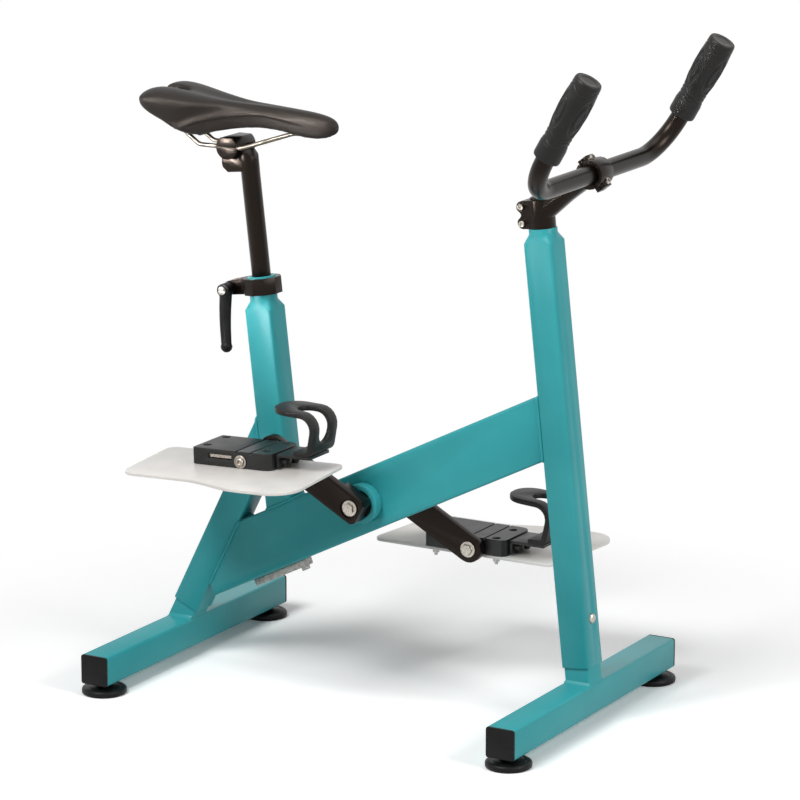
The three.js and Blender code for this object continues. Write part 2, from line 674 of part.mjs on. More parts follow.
// The weld bead round a spigot's foot, in the cross bar's frame
function weld(lean) {
  const buried = BAR_TOP - TUBE_WALL / 2;
  const half = SPIGOT_SIDE / 2;
  return loft([
    rectangleRing((buried - BAR_TOP) * tan(lean), HALF_TUBE - TUBE_WALL / 2, half + WELD_LEG, buried),
    rectangleRing(WELD_LEG * tan(lean), half - SEAT_GAP, half - SEAT_GAP, BAR_TOP + WELD_LEG),
  ]);
}

function crossBar(lean) {
  const stand = turned(spigot(lean), 0, lean, 0).translate(0, 0, BAR_TOP);
  const bore = across(boreOutline(), BAR_LENGTH + 2 * OVERRUN);
  const studs = [-1, 1].map((side) => moved(rod(FOOT_STUD + 2 * RUN_GAP, HALF_TUBE, SMALL_ROUND),
    0, side * (BAR_LENGTH / 2 - FOOT_INSET), FOOT_HEIGHT - OVERRUN));
  return cut(join(across(tubeOutline(), BAR_LENGTH), stand, weld(lean)), bore, ...studs);
}

// Cap in a cross bar's end, drawn along +Z with the bar's end at z = 0
function endCap() {
  const side = TUBE_BORE - 2 * SEAT_GAP;
  const plug = moved(prism(rectangle(side, side, BORE_CORNER, 1), CAP_PLUG + CAP_FLANGE), 0, 0, -CAP_PLUG);
  const flange = moved(prism(tubeOutline(), CAP_FLANGE), 0, 0, SEAT_GAP);
  const hollow = moved(block(side - 2 * CAP_WALL, side - 2 * CAP_WALL, 2 * CAP_PLUG), 0, 0, -CAP_PLUG);
  return cut(join(plug, flange), hollow);
}

// Screw foot: a disc with its lock nut, and a stud that goes up into the cross bar
function foot() {
  const [r, nut, stud] = [FOOT_DIAMETER / 2, FOOT_NUT / 2, FOOT_STUD / 2];
  const nutTop = FOOT_HEIGHT - SEAT_GAP;
  const end = FOOT_HEIGHT + FOOT_STUD_RISE;
  return revolve([
    [0, 0], [r - FOOT_BEVEL / 2, 0], [r, FOOT_BEVEL / 2], [r, FOOT_DISC - FOOT_BEVEL],
    [r - FOOT_BEVEL, FOOT_DISC], [nut, FOOT_DISC], [nut, nutTop], [stud, nutTop], [stud, end], [0, end],
  ]);
}

// Frame

// A square tube drawn in to a round neck, with a square bore below and a round socket above
function neckedTube(start, square, neck, socket) {
  const top = square + SHOULDER + neck;
  const outer = loft([
    neckRing(0, start), neckRing(0, square), neckRing(1 / 2, square + SHOULDER / 2),
    neckRing(1, square + SHOULDER), neckRing(1, top),
  ]);
  const bore = moved(prism(boreOutline(), square - TUBE_WALL - start + OVERRUN), 0, 0, start - OVERRUN);
  const hole = moved(rod(socket, SHOULDER + neck + TUBE_WALL + 2 * OVERRUN),
    0, 0, square - TUBE_WALL - OVERRUN);
  return cut(outer, bore, hole);
}

function frontColumnTube() {
  return cut(neckedTube(COLUMN_LIFT, FRONT_SQUARE, FRONT_NECK, STEERER_SOCKET), columnBoltHole(-FRONT_LEAN));
}

// The seat tube's foot is cut to the beam's top, and its neck is slit for the collar
function seatTubeTube() {
  const start = -HALF_TUBE * tan(BEAM_SLOPE - SEAT_LEAN) - OVERRUN;
  const tube = neckedTube(start, SEAT_SQUARE, SEAT_NECK, POST_SOCKET);
  const slit = block(NECK_DIAMETER, SEAT_SLIT, SEAT_NECK);
  return cut(tube, seenFrom(seatTube, beam, below(BEAM_HEIGHT / 2 + SEAT_GAP)),
    moved(slit, -NECK_DIAMETER / 2, 0, SEAT_TOP - SEAT_NECK / 2 + OVERRUN));
}

// The rear leg ends against the seat tube's rear face
function rearLegTube() {
  const tube = cut(
    moved(prism(tubeOutline(), BAR_SPACING), 0, 0, COLUMN_LIFT),
    moved(prism(boreOutline(), BAR_SPACING + 2 * OVERRUN), 0, 0, COLUMN_LIFT - OVERRUN),
  );
  return cut(tube, seenFrom(rearLeg, seatTube, ahead(-HALF_TUBE - SEAT_GAP)), columnBoltHole(REAR_LEAN));
}

// The beam ends square below and against the rear leg above, and meets the column's rear face in front
function beamTube() {
  const length = BEAM_TAIL + BAR_SPACING / 2;
  const along = (outline, start, span) => moved(frontPrism(outline, span), start, 0, 0);
  const outer = along(rectangle(TUBE_SIDE, BEAM_HEIGHT, TUBE_CORNER), -BEAM_TAIL, length);
  const bore = along(rectangle(TUBE_BORE, BEAM_HEIGHT - 2 * TUBE_WALL, BORE_CORNER, 1),
    -BEAM_TAIL - OVERRUN, length + 2 * OVERRUN);
  return cut(outer, bore,
    crossRod(SHELL_DIAMETER + 2 * SEAT_GAP, TUBE_SIDE + 2 * OVERRUN, 2 * ROUND),
    seenFrom(beam, frontColumn, ahead(-HALF_TUBE - SEAT_GAP)),
    seenFrom(beam, rearLeg, behind(HALF_TUBE + SEAT_GAP)));
}

// Domed bolt of a column, drawn about the bolt's place on the column's axis
function columnBolt() {
  const grip = HALF_TUBE + SEAT_GAP - SPIGOT_BORE / 2 + FRAME_BOLT_REACH;
  return forwards(moved(domeBolt(FRAME_BOLT, grip, DOME_DIAMETER, DOME_HEIGHT), 0, 0, HALF_TUBE + SEAT_GAP));
}

// Sacrificial bar bolted under the beam against corrosion
function anode() {
  const top = -BEAM_HEIGHT / 2 - SEAT_GAP;
  const profile = polygon([
    [0, 0], [ANODE_LENGTH, 0], [ANODE_LENGTH - ANODE_TAPER / 2, -ANODE_THICKNESS],
    [ANODE_TAPER / 2, -ANODE_THICKNESS],
  ]);
  const plan = prism(rectangle(ANODE_LENGTH, ANODE_WIDTH, ANODE_TAPER), 2 * ANODE_THICKNESS);
  const bar = common(sidePrism(profile, ANODE_WIDTH),
    moved(plan, ANODE_LENGTH / 2, 0, -3 / 2 * ANODE_THICKNESS));
  const nut = moved(prism(hexagon(ANODE_NUT), ANODE_NUT_HEIGHT + ANODE_THICKNESS / 2),
    ANODE_LENGTH - ANODE_NUT, 0, -ANODE_THICKNESS - ANODE_NUT_HEIGHT);
  return moved(join(bar, nut), -ANODE_TAIL, 0, top);
}

// Crank centre

function bearingShell() {
  const [outer, seat, half] = [SHELL_DIAMETER / 2, BEARING_DIAMETER / 2 + SEAT_GAP, SHELL_LENGTH / 2];
  const [lip, step] = [seat - BEARING_LIP, half - BEARING_WIDTH - SEAT_GAP];
  return leftwards(revolve([
    [lip, -step], [seat, -step], [seat, -half], [outer, -half],
    [outer, half], [seat, half], [seat, step], [lip, step], [lip, -step],
  ]));
}

// Left bearing, with a seal groove in its outer face
function bearing() {
  const [inner, outer] = [AXLE_DIAMETER / 2 + SEAT_GAP, BEARING_DIAMETER / 2];
  const [back, face] = [SHELL_LENGTH / 2 - BEARING_WIDTH, SHELL_LENGTH / 2];
  const [near, far, depth] = [inner + BEARING_RACE, outer - BEARING_RACE, face - BEARING_GROOVE];
  return leftwards(revolve([
    [inner, back], [outer, back], [outer, face], [far, face], [far, depth],
    [near, depth], [near, face], [inner, face], [inner, back],
  ]));
}

function crankAxle() {
  const squareLength = 2 * (HUB_INNER + AXLE_SQUARE_LENGTH);
  const square = leftwards(prism(rectangle(AXLE_SQUARE, AXLE_SQUARE, BORE_CORNER, 1), squareLength));
  const hole = crossRod(CRANK_BOLT_HOLE, 2 * (CRANK_BOLT_GRIP + OVERRUN), SMALL_ROUND);
  const holes = [-1, 1].map((side) => moved(hole, 0, side * (squareLength / 2 + OVERRUN), 0));
  const round = crossRod(AXLE_DIAMETER, 2 * (HUB_INNER - RUN_GAP));
  return cut(join(round, moved(square, 0, -squareLength / 2, 0)), ...holes);
}

// Left crank along +X from the crank axle: a flat arm with a thicker hub block behind it
function crank() {
  const half = CRANK_WIDTH / 2;
  const slab = (outline, inner, outer) => moved(sidePrism(outline, outer - inner), 0, (inner + outer) / 2, 0);
  const heel = [
    [CRANK_CHAMFER - CRANK_HEEL, half], [-CRANK_HEEL, half - CRANK_CHAMFER],
    [-CRANK_HEEL, CRANK_CHAMFER - half], [CRANK_CHAMFER - CRANK_HEEL, -half],
  ];
  const tip = CRANK_LENGTH + half;
  const hubEnd = CRANK_HUB_LENGTH - CRANK_HEEL;
  const squareHole = AXLE_SQUARE + 2 * SEAT_GAP;
  const pedalHole = slab(disc(PEDAL_AXLE + 2 * SEAT_GAP, SMALL_ROUND),
    CRANK_INNER - OVERRUN, CRANK_FACE + OVERRUN);
  return cut(
    join(
      slab(polygon([...heel, [tip, -half, half], [tip, half, half]], BEND_STEPS), CRANK_INNER, CRANK_FACE),
      slab(polygon([...heel, [hubEnd, -half], [hubEnd, half]]), HUB_INNER, CRANK_INNER + CRANK_THICKNESS / 2),
    ),
    slab(rectangle(squareHole, squareHole, BORE_CORNER, 1), HUB_INNER - OVERRUN,
      HUB_INNER + AXLE_SQUARE_LENGTH + SEAT_GAP),
    slab(disc(CRANK_BOLT_HOLE, SMALL_ROUND), HUB_INNER, CRANK_FACE + OVERRUN),
    slab(disc(CRANK_RECESS), CRANK_FACE - CRANK_RECESS_DEPTH, CRANK_FACE + OVERRUN),
    moved(pedalHole, CRANK_LENGTH, 0, 0),
  );
}

function crankBolt() {
  const seat = CRANK_FACE - CRANK_RECESS_DEPTH + SEAT_GAP;
  const grip = seat - HUB_INNER - AXLE_SQUARE_LENGTH + CRANK_BOLT_GRIP - RUN_GAP;
  return leftwards(moved(hexBolt(CRANK_BOLT, grip), 0, 0, seat));
}

// Left pedal, drawn about its axle with +Y outwards; the right one is its mirror image

// The pedal axle comes through the crank from its inner side, where its head shows
function pedalAxle() {
  const inner = CRANK_INNER - SEAT_GAP - PEDAL_MIDDLE;
  const end = PEDAL_WIDTH / 2;
  const thread = rod(PEDAL_SCREW + 2 * SEAT_GAP, PEDAL_SCREW_GRIP + OVERRUN, SMALL_ROUND);
  const head = moved(turned(hexBolt(PEDAL_AXLE, OVERRUN), PI, 0, 0), 0, 0, inner);
  const shaft = moved(rod(PEDAL_AXLE, end - inner, SMALL_ROUND), 0, 0, inner);
  return leftwards(cut(join(shaft, head), moved(thread, 0, 0, end - PEDAL_SCREW_GRIP)));
}

function pedalEndScrew() {
  const screw = domeBolt(PEDAL_SCREW, PEDAL_SCREW_GRIP - RUN_GAP, PEDAL_DOME, PEDAL_DOME_HEIGHT);
  const whole = join(rod(PEDAL_WASHER, WASHER_THICKNESS), moved(screw, 0, 0, WASHER_THICKNESS / 2));
  return leftwards(moved(whole, 0, 0, PEDAL_WIDTH / 2 + RUN_GAP));
}

const holeLines = [-PEDAL_HOLE_SHIFT - PEDAL_HOLE_SPREAD, -PEDAL_HOLE_SHIFT + PEDAL_HOLE_SPREAD];
const holePlaces = [PEDAL_HOLE_REAR, PEDAL_HOLE_FRONT].flatMap((x) => holeLines.map((y) => [x, y]));

// A bar in the place of the pedal's side window
function windowBar(height, depth, clearance) {
  const length = WINDOW_FRONT - WINDOW_REAR - 2 * clearance;
  const back = PEDAL_WIDTH / 2 - WINDOW_DEPTH + clearance;
  return moved(block(length, depth, height), (WINDOW_REAR + WINDOW_FRONT) / 2, back + depth / 2, WINDOW_RISE);
}

function pedalBody() {
  const half = PEDAL_WIDTH / 2;
  const plan = polygon([
    [-PEDAL_REAR, -half, PEDAL_HEEL_CORNER], [PEDAL_FRONT, -half, PEDAL_CORNER],
    [PEDAL_FRONT, half, PEDAL_CORNER], [-PEDAL_REAR, half, PEDAL_HEEL_CORNER],
  ]);
  const grooves = [PEDAL_GROOVE_REAR, PEDAL_GROOVE_FRONT].map((x) => moved(
    block(PEDAL_GROOVE, PEDAL_WIDTH + OVERRUN, 2 * PEDAL_GROOVE_DEPTH), x, 0, PEDAL_ABOVE));
  const holes = holePlaces.map(([x, y]) => moved(rod(PEDAL_HOLE, 2 * PEDAL_HOLE_DEPTH, SMALL_ROUND),
    x, y, PEDAL_ABOVE - PEDAL_HOLE_DEPTH));
  return cut(moved(prism(plan, PEDAL_THICKNESS), 0, 0, -PEDAL_BELOW),
    crossRod(PEDAL_AXLE + 2 * RUN_GAP, PEDAL_WIDTH + 2 * OVERRUN, SMALL_ROUND),
    windowBar(WINDOW_HEIGHT, WINDOW_DEPTH + OVERRUN, 0), ...grooves, ...holes);
}

// Plate screwed to the pedal's front, which carries the toe loop
function toeBracket() {
  const face = PEDAL_FRONT + SEAT_GAP;
  const under = BRACKET_RISE - BRACKET_THICKNESS;
  const profile = polygon([
    [face, -BRACKET_DROP], [face + BRACKET_THICKNESS, -BRACKET_DROP],
    [face + BRACKET_THICKNESS, under, BRACKET_CORNER], [face + BRACKET_LENGTH, under],
    [face + BRACKET_LENGTH, BRACKET_RISE], [face, BRACKET_RISE, BRACKET_CORNER],
  ]);
  const reach = BRACKET_THICKNESS + BOSS_LENGTH;
  const bosses = [-BOSS_SPREAD, BOSS_SPREAD].flatMap((y) => [
    moved(forwards(rod(BOSS_DIAMETER, reach)), face, y, 0),
    moved(forwards(rod(BOSS_SCREW, reach + BOSS_SCREW_HEIGHT, SMALL_ROUND)), face, y, 0),
  ]);
  return join(sidePrism(profile, BRACKET_WIDTH), ...bosses);
}

// Toe loop: a band that stands on the bracket, leans forwards and comes back over the foot, with a long slot
function toeLoop() {
  const base = BRACKET_RISE + SEAT_GAP + TOE_BAND / 2;
  const top = BRACKET_RISE + TOE_HEIGHT;
  const bend = TOE_KNEE + (top - base) * tan(TOE_LEAN);
  const [end, far] = [bend - TOE_RETURN, bend + TOE_BEND];
  const [half, slot] = [TOE_WIDTH / 2, TOE_SLOT / 2];
  const band = sidePrism(strip([
    [TOE_FOOT, base], [TOE_KNEE, base, TOE_KNEE_BEND], [bend, top, TOE_BEND], [end, top + TOE_LIFT],
  ], TOE_BAND), TOE_WIDTH);
  const plan = polygon([
    [end, -half, TOE_END_ROUND], [far, -half], [far, half], [end, half, TOE_END_ROUND],
  ], BEND_STEPS);
  const slotEnd = end + TOE_SLOT_MARGIN;
  const over = polygon([
    [slotEnd, -slot, slot], [far, -slot], [far, slot], [slotEnd, slot, slot],
  ], BEND_STEPS);
  const foot = BRACKET_RISE + TOE_SLOT_FOOT;
  const knee = top - TOE_BEND + TOE_BAND;
  const front = polygon([[-slot, foot, slot], [slot, foot, slot], [slot, knee], [-slot, knee]], BEND_STEPS);
  return cut(common(band, prism(plan, 2 * top)),
    moved(prism(over, top), 0, 0, top - TOE_BEND),
    moved(frontPrism(front, 2 * TOE_BEND), bend - 2 * TOE_BEND, 0, 0));
}

// Paddle under the pedal, wider in front, with the nuts of the four screws that hold it
function paddle() {
  const outline = polygon([
    [-PADDLE_REAR - PADDLE_SKEW, -PADDLE_INNER, PADDLE_INNER_CORNER],
    [PADDLE_FRONT - PADDLE_SKEW, -PADDLE_INNER, PADDLE_INNER_CORNER],
    [PADDLE_FRONT, PADDLE_OUTER_FRONT, PADDLE_FRONT_CORNER],
    [PADDLE_STEP_FRONT, PADDLE_OUTER_FRONT, PADDLE_STEP_ROUND],
    [PADDLE_STEP_REAR, PADDLE_OUTER_REAR, PADDLE_STEP_ROUND],
    [-PADDLE_REAR, PADDLE_OUTER_REAR, PADDLE_REAR_CORNER],
  ], BEND_STEPS);
  const under = -PEDAL_BELOW - SEAT_GAP - PADDLE_THICKNESS;
  const nutEnd = under - PADDLE_NUT_HEIGHT;
  const nuts = holePlaces.flatMap(([x, y]) => [
    moved(prism(hexagon(PADDLE_NUT), PADDLE_NUT_HEIGHT + PADDLE_THICKNESS / 2), x, y, nutEnd),
    moved(rod(PADDLE_SCREW, PADDLE_NUT_HEIGHT + PADDLE_SCREW_END, SMALL_ROUND),
      x, y, nutEnd - PADDLE_SCREW_END),
  ]);
  return join(moved(prism(outline, PADDLE_THICKNESS), 0, 0, under), ...nuts);
}

// Seat collar and its lever

// Faceted ring round the seat tube's neck, with two ears behind it for the clamp bolt
function collar() {
  const half = COLLAR_HEIGHT / 2;
  const ring = prism(disc(COLLAR_ACROSS / cos(PI / COLLAR_SIDES), COLLAR_SIDES), COLLAR_HEIGHT);
  const [root, back, tip] = [-COLLAR_BORE / 2, -COLLAR_ACROSS / 2, -EAR_SETBACK - EAR_RADIUS];
  const ears = sidePrism(polygon([
    [root, -half], [root, half], [back, half, EAR_RADIUS / 2],
    [tip, EAR_RADIUS - EAR_DROP, EAR_RADIUS], [tip, -EAR_RADIUS - EAR_DROP, EAR_RADIUS],
    [back, -half, EAR_RADIUS / 2],
  ]), 2 * EAR_FACE);
  const slit = moved(block(-2 * tip, SEAT_SLIT, 2 * COLLAR_HEIGHT), tip, 0, 0);
  const bolt = moved(crossRod(CLAMP_BOLT_DIAMETER + 2 * SEAT_GAP, BAR_LENGTH, SMALL_ROUND),
    -EAR_SETBACK, 0, -EAR_DROP);
  const bore = moved(rod(COLLAR_BORE, 2 * COLLAR_HEIGHT, 2 * ROUND), 0, 0, -COLLAR_HEIGHT);
  const whole = join(moved(turned(ring, 0, 0, PI / COLLAR_SIDES), 0, 0, -half), ears);
  return moved(cut(whole, bore, slit, bolt), 0, 0, COLLAR_MIDDLE);
}

// Clamp bolt through the ears and the lever's hub: a slotted head over the hub, a nut on the far ear
function clampBolt() {
  const head = LEVER_MIDDLE + LEVER_HUB_LENGTH / 2 + SEAT_GAP;
  const nut = EAR_FACE + SEAT_GAP;
  const nutHeight = 2 * CLAMP_BOLT_HEAD_HEIGHT;
  const slot = block(CLAMP_BOLT_HEAD, SEAT_SLIT / 2, CLAMP_BOLT_HEAD_HEIGHT);
  const body = join(
    moved(rod(CLAMP_BOLT_DIAMETER, head + nut + nutHeight / 2, SMALL_ROUND), 0, 0, -nut),
    moved(rod(CLAMP_BOLT_HEAD, CLAMP_BOLT_HEAD_HEIGHT, SMALL_ROUND), 0, 0, head),
    moved(prism(hexagon(CLAMP_BOLT_HEAD), nutHeight), 0, 0, -nut - nutHeight),
  );
  return turned(cut(body, moved(slot, 0, 0, head + CLAMP_BOLT_HEAD_HEIGHT)), PI / 2, 0, 0);
}

// Lever on the right side: hub, a bowed arm that tapers, and a ball end
function lever() {
  const hub = moved(crossRod(LEVER_HUB_DIAMETER, LEVER_HUB_LENGTH), 0, -LEVER_MIDDLE, 0);
  const arm = loft(Array.from({ length: BEND_STEPS + 1 }, (_, k) => {
    const share = k / BEND_STEPS;
    const bow = -LEVER_BOW * sin(PI * share);
    const narrowed = 1 - leverTaperShare * share;
    const [half, thick] = [LEVER_WIDTH / 2 * narrowed, LEVER_THICKNESS / 2 * narrowed];
    return Array.from({ length: SMALL_ROUND }, (__, i) => new THREE.Vector3(
      bow + half * cos(2 * PI * i / SMALL_ROUND), thick * sin(2 * PI * i / SMALL_ROUND) - LEVER_MIDDLE,
      -LEVER_REACH * share));
  }));
  const ball = revolve(Array.from({ length: BEND_STEPS + 1 }, (_, k) => [
    LEVER_BALL / 2 * sin(PI * k / BEND_STEPS), -LEVER_BALL / 2 * cos(PI * k / BEND_STEPS)]), SMALL_ROUND);
  return cut(join(hub, arm, moved(ball, 0, -LEVER_MIDDLE, -LEVER_REACH)),
    crossRod(CLAMP_BOLT_DIAMETER + 2 * RUN_GAP, BAR_LENGTH, SMALL_ROUND));
}

// Seat post and saddle clamp

// Room in the post's head for the clamp's bolt over its whole tilt: a slot, and a pocket for the bolt's head
function boltRoom() {
  const straight = -PI / 2 - SEAT_LEAN;
  const under = CRADLE_RADIUS + CRADLE_THICKNESS;
  const swing = TILT_LIMIT + asin((SADDLE_BOLT / 2 + RUN_GAP) / CRADLE_RADIUS);
  const headSwing = TILT_LIMIT + asin((SADDLE_BOLT_HEAD / 2 + RUN_GAP) / under);
  const slot = sector(CRADLE_RADIUS - OVERRUN, under + OVERRUN, straight - swing, straight + swing);
  const pocket = sector(under, under + SADDLE_BOLT_HEAD_HEIGHT + 2 * OVERRUN,
    straight - 2 * headSwing, straight + headSwing);
  return [
    sidePrism(slot, SADDLE_BOLT + 2 * RUN_GAP),
    sidePrism(pocket, SADDLE_BOLT_HEAD + 2 * RUN_GAP),
  ];
}

// Post with a forged head: a cradle for the round clamp
function seatPost() {
  const shoulder = SEAT_TOP + POST_EXPOSED;
  const bottom = SEAT_TOP - POST_INSERTED;
  const tube = cut(
    moved(rod(POST_DIAMETER, shoulder - bottom + SEAT_GAP), 0, 0, bottom),
    moved(rod(POST_DIAMETER - 2 * POST_WALL, shoulder - bottom - POST_WALL), 0, 0, bottom - OVERRUN),
  );
  const [rimX, rimZ] = [CRADLE_RADIUS * sin(CRADLE_SPAN), -CRADLE_RADIUS * cos(CRADLE_SPAN)];
  const heel = -CRADLE_RADIUS - SEAT_GAP;
  const front = TILT_SETBACK + POST_DIAMETER / 2;
  const profile = polygon([
    [front, -TILT_RISE], [front, -TILT_RISE / 2, HEAD_ROUND],
    [rimX + CRADLE_THICKNESS / 2, rimZ, HEAD_ROUND / 4],
    [0, 0], [-rimX, rimZ], [heel, -TILT_RISE + HEAD_ROUND, HEAD_ROUND], [heel + HEAD_ROUND, -TILT_RISE],
  ]);
  const plan = prism(polygon([
    [2 * heel, -HEAD_WIDTH / 2], [front, -HEAD_WIDTH / 2, HEAD_WIDTH / 2],
    [front, HEAD_WIDTH / 2, HEAD_WIDTH / 2], [2 * heel, HEAD_WIDTH / 2],
  ], BEND_STEPS), 2 * TILT_RISE);
  const cradle = crossRod(2 * CRADLE_RADIUS, HEAD_WIDTH + 2 * OVERRUN, 2 * ROUND);
  const forging = common(sidePrism(profile, HEAD_WIDTH), moved(plan, 0, 0, -3 / 2 * TILT_RISE));
  const head = cut(forging, cradle, ...boltRoom());
  return join(tube, moved(head, -TILT_SETBACK, 0, TILT_HEIGHT));
}

// The saddle's wire, bent from one length: two rails that join under the nose
function railWire(diameter, extra = 0) {
  const [back, front] = [-RAIL_BACK, RAIL_STRAIGHT - RAIL_BACK];
  const tail = 1 + extra / hypot(RAIL_TAIL_RUN, RAIL_TAIL_RISE);
  const half = [
    [back - RAIL_TAIL_RUN * tail, RAIL_SPREAD, RAIL_TAIL_RISE * tail], [back, RAIL_SPREAD, 0, RAIL_BEND],
    [front, RAIL_SPREAD, 0, RAIL_BEND],
    [front + RAIL_NOSE_RUN, RAIL_NOSE_SPREAD, RAIL_NOSE_RISE, RAIL_NOSE_BEND],
  ];
  return bentRod([...half, ...half.map(([x, y, z, radius]) => [x, -y, z, radius]).reverse()], diameter);
}

const railGroove = () => railWire(RAIL_DIAMETER + 2 * SEAT_GAP, SEAT_GAP);

// Lower half of the clamp: round below, with half a groove for each rail
function clampLower() {
  const above = turned(below(CLAMP_SPLIT / 2), PI, 0, 0);
  const hole = moved(rod(SADDLE_BOLT_HOLE, 2 * CRADLE_RADIUS, SMALL_ROUND), 0, 0, -2 * CRADLE_RADIUS);
  return cut(crossRod(2 * CLAMP_RADIUS, CLAMP_WIDTH, 2 * ROUND), above, railGroove(), hole);
}

// Upper half of the clamp, flatter on top, with the thread for the bolt
function clampUpper() {
  const slab = block(2 * CRADLE_RADIUS, CLAMP_WIDTH, CLAMP_TOP - CLAMP_SPLIT / 2);
  const half = common(crossRod(2 * CLAMP_RADIUS, CLAMP_WIDTH, 2 * ROUND),
    moved(slab, 0, 0, (CLAMP_TOP + CLAMP_SPLIT / 2) / 2));
  const hole = moved(rod(SADDLE_BOLT_HOLE, SADDLE_BOLT_GRIP + CLAMP_SPLIT, SMALL_ROUND),
    0, 0, -CLAMP_SPLIT / 2);
  return cut(half, railGroove(), hole);
}

// Bolt from below, its head riding under the cradle
function saddleBolt() {
  const seat = CRADLE_RADIUS + CRADLE_THICKNESS + RUN_GAP;
  const grip = seat + SADDLE_BOLT_GRIP - SEAT_GAP;
  const screw = capScrew(SADDLE_BOLT, grip, SADDLE_BOLT_HEAD, SADDLE_BOLT_HEAD_HEIGHT, STEM_BOLT_SOCKET);
  return moved(turned(screw, PI, 0, 0), 0, 0, -seat);
}

// Saddle

// Stations from nose to tail: place, width, top, side, skirt and width at the skirt, as shares of the
// saddle's length, width, rise, rise, rise and the station's own width
const saddleStationShares = [
  [0, 0.05, 0.50, 0.47, 0.44, 0.8],
  [0.012, 0.13, 0.585, 0.49, 0.36, 0.85],
  [0.04, 0.195, 0.64, 0.50, 0.30, 0.88],
  [0.09, 0.235, 0.685, 0.53, 0.26, 0.9],
  [0.16, 0.26, 0.715, 0.56, 0.265, 0.9],
  [0.26, 0.28, 0.74, 0.60, 0.33, 0.9],
  [0.36, 0.315, 0.765, 0.63, 0.37, 0.88],
  [0.46, 0.385, 0.79, 0.65, 0.36, 0.84],
  [0.56, 0.50, 0.82, 0.67, 0.305, 0.78],
  [0.65, 0.635, 0.86, 0.69, 0.24, 0.73],
  [0.73, 0.765, 0.905, 0.715, 0.15, 0.71],
  [0.80, 0.87, 0.95, 0.745, 0.22, 0.74],
  [0.87, 0.95, 0.985, 0.78, 0.36, 0.79],
  [0.93, 0.99, 0.995, 0.80, 0.51, 0.85],
  [0.97, 0.96, 0.97, 0.805, 0.60, 0.9],
  [1, 0.86, 0.90, 0.80, 0.70, 0.95],
];
const crownShares = [[-1, 0], [-0.94, 0.34], [-0.78, 0.68], [-0.52, 0.9], [-0.26, 0.98], [0, 1]];
const archShares = [[-0.8, 0.25], [-0.4, 0.85], [0, 1]];
const channelStartShare = 0.3;
const channelFullShare = 0.6;

function saddleStation([place, width, top, side, skirt, skirtWidth]) {
  const half = SADDLE_WIDTH / 2 * width;
  const skirtHalf = half * skirtWidth;
  return {
    x: SADDLE_AHEAD - SADDLE_LENGTH * place,
    half, skirtHalf, inner: skirtHalf - min(SADDLE_LIP, skirtHalf / 3),
    top: SADDLE_RISE * top, side: SADDLE_RISE * side, skirt: SADDLE_RISE * skirt,
    channel: CHANNEL_DEPTH * smoothstep(place, channelStartShare, channelFullShare),
    arch: min(SADDLE_ARCH, SADDLE_RISE * (side - skirt) * 3 / 4),
  };
}

// Points [y, z] of a right half and its mirror image, in order round the ring at x
function bothSides(points, x) {
  const right = points.map(([y, z]) => new THREE.Vector3(x, y, z));
  const left = points.filter(([y]) => y < 0).reverse().map(([y, z]) => new THREE.Vector3(x, -y, z));
  return [...right, ...left];
}

const archPoints = (s, inset, drop) => archShares.map(([y, z]) => [
  (s.inner - inset) * y, s.skirt + s.arch * z - drop]);

// The padded cover: crowned on top, drawn in below its widest line, hollow underneath
function saddlePad() {
  return cut(loft(saddleStationShares.map(saddleStation).map((s) => {
    const over = crownShares.map(([y, z]) => [
      s.half * y, lerp(s.side, s.top, z) - s.channel * smoothstep(1 + 2 * y, 0, 1)]);
    const waist = [-(s.half + s.skirtHalf) / 2, (s.side + s.skirt) / 2];
    const outside = bothSides([[-s.skirtHalf, s.skirt], waist, ...over], s.x);
    return [...outside, ...bothSides([[-s.inner, s.skirt], ...archPoints(s, 0, 0)], s.x).reverse()];
  }), true), notch(0));
}

// The stiff base under the cover, with sockets for the rails
function saddleShell() {
  const stations = saddleStationShares.slice(1, -1).map(saddleStation);
  const inset = 2 * SEAT_GAP;
  const plate = loft(stations.map((s) => [
    ...bothSides(archPoints(s, inset, RUN_GAP + min(SADDLE_SHELL, s.arch / 2)), s.x),
    ...bothSides(archPoints(s, inset, RUN_GAP), s.x).reverse(),
  ]), true);
  const room = loft(stations.map((s) => [
    ...bothSides([[inset - s.inner, -SADDLE_RISE]], s.x),
    ...bothSides(archPoints(s, inset, RUN_GAP), s.x).reverse(),
  ]), true);
  const socket = (length, width, x, y, underside) => common(
    moved(block(length, width, SADDLE_RISE), x, y, underside + SADDLE_RISE / 2), room);
  const tail = -RAIL_BACK - RAIL_TAIL_RUN;
  const sockets = [-RAIL_SPREAD, RAIL_SPREAD].map((y) => socket(SOCKET_LENGTH, SOCKET_WIDTH, tail, y,
    RAIL_TAIL_RISE - SOCKET_DROP));
  const nose = socket(NOSE_SOCKET_LENGTH, NOSE_SOCKET_WIDTH, RAIL_STRAIGHT - RAIL_BACK + RAIL_NOSE_RUN, 0,
    RAIL_NOSE_RISE - NOSE_SOCKET_DROP);
  return cut(join(plate, ...sockets, nose), railGroove(), notch(SEAT_GAP));
}

// The gap between the saddle's wings
function notch(clearance) {
  const rear = SADDLE_AHEAD - SADDLE_LENGTH;
  const half = NOTCH_WIDTH / 2 + clearance;
  return prism(polygon([
    [rear - OVERRUN, -half - OVERRUN], [rear + NOTCH_LENGTH, -half / 2, half / 2],
    [rear + NOTCH_LENGTH, half / 2, half / 2], [rear - OVERRUN, half + OVERRUN],
  ]), 2 * SADDLE_RISE);
}

// Stem and handlebar

function steererTube() {
  const top = SEAT_GAP + STEM_CLAMP_HEIGHT - RUN_GAP;
  const length = top + STEERER_DEPTH;
  return cut(
    moved(rod(STEERER_DIAMETER, length), 0, 0, -STEERER_DEPTH),
    moved(rod(STEERER_DIAMETER - 2 * STEERER_WALL, length + 2 * OVERRUN), 0, 0, -STEERER_DEPTH - OVERRUN),
  );
}

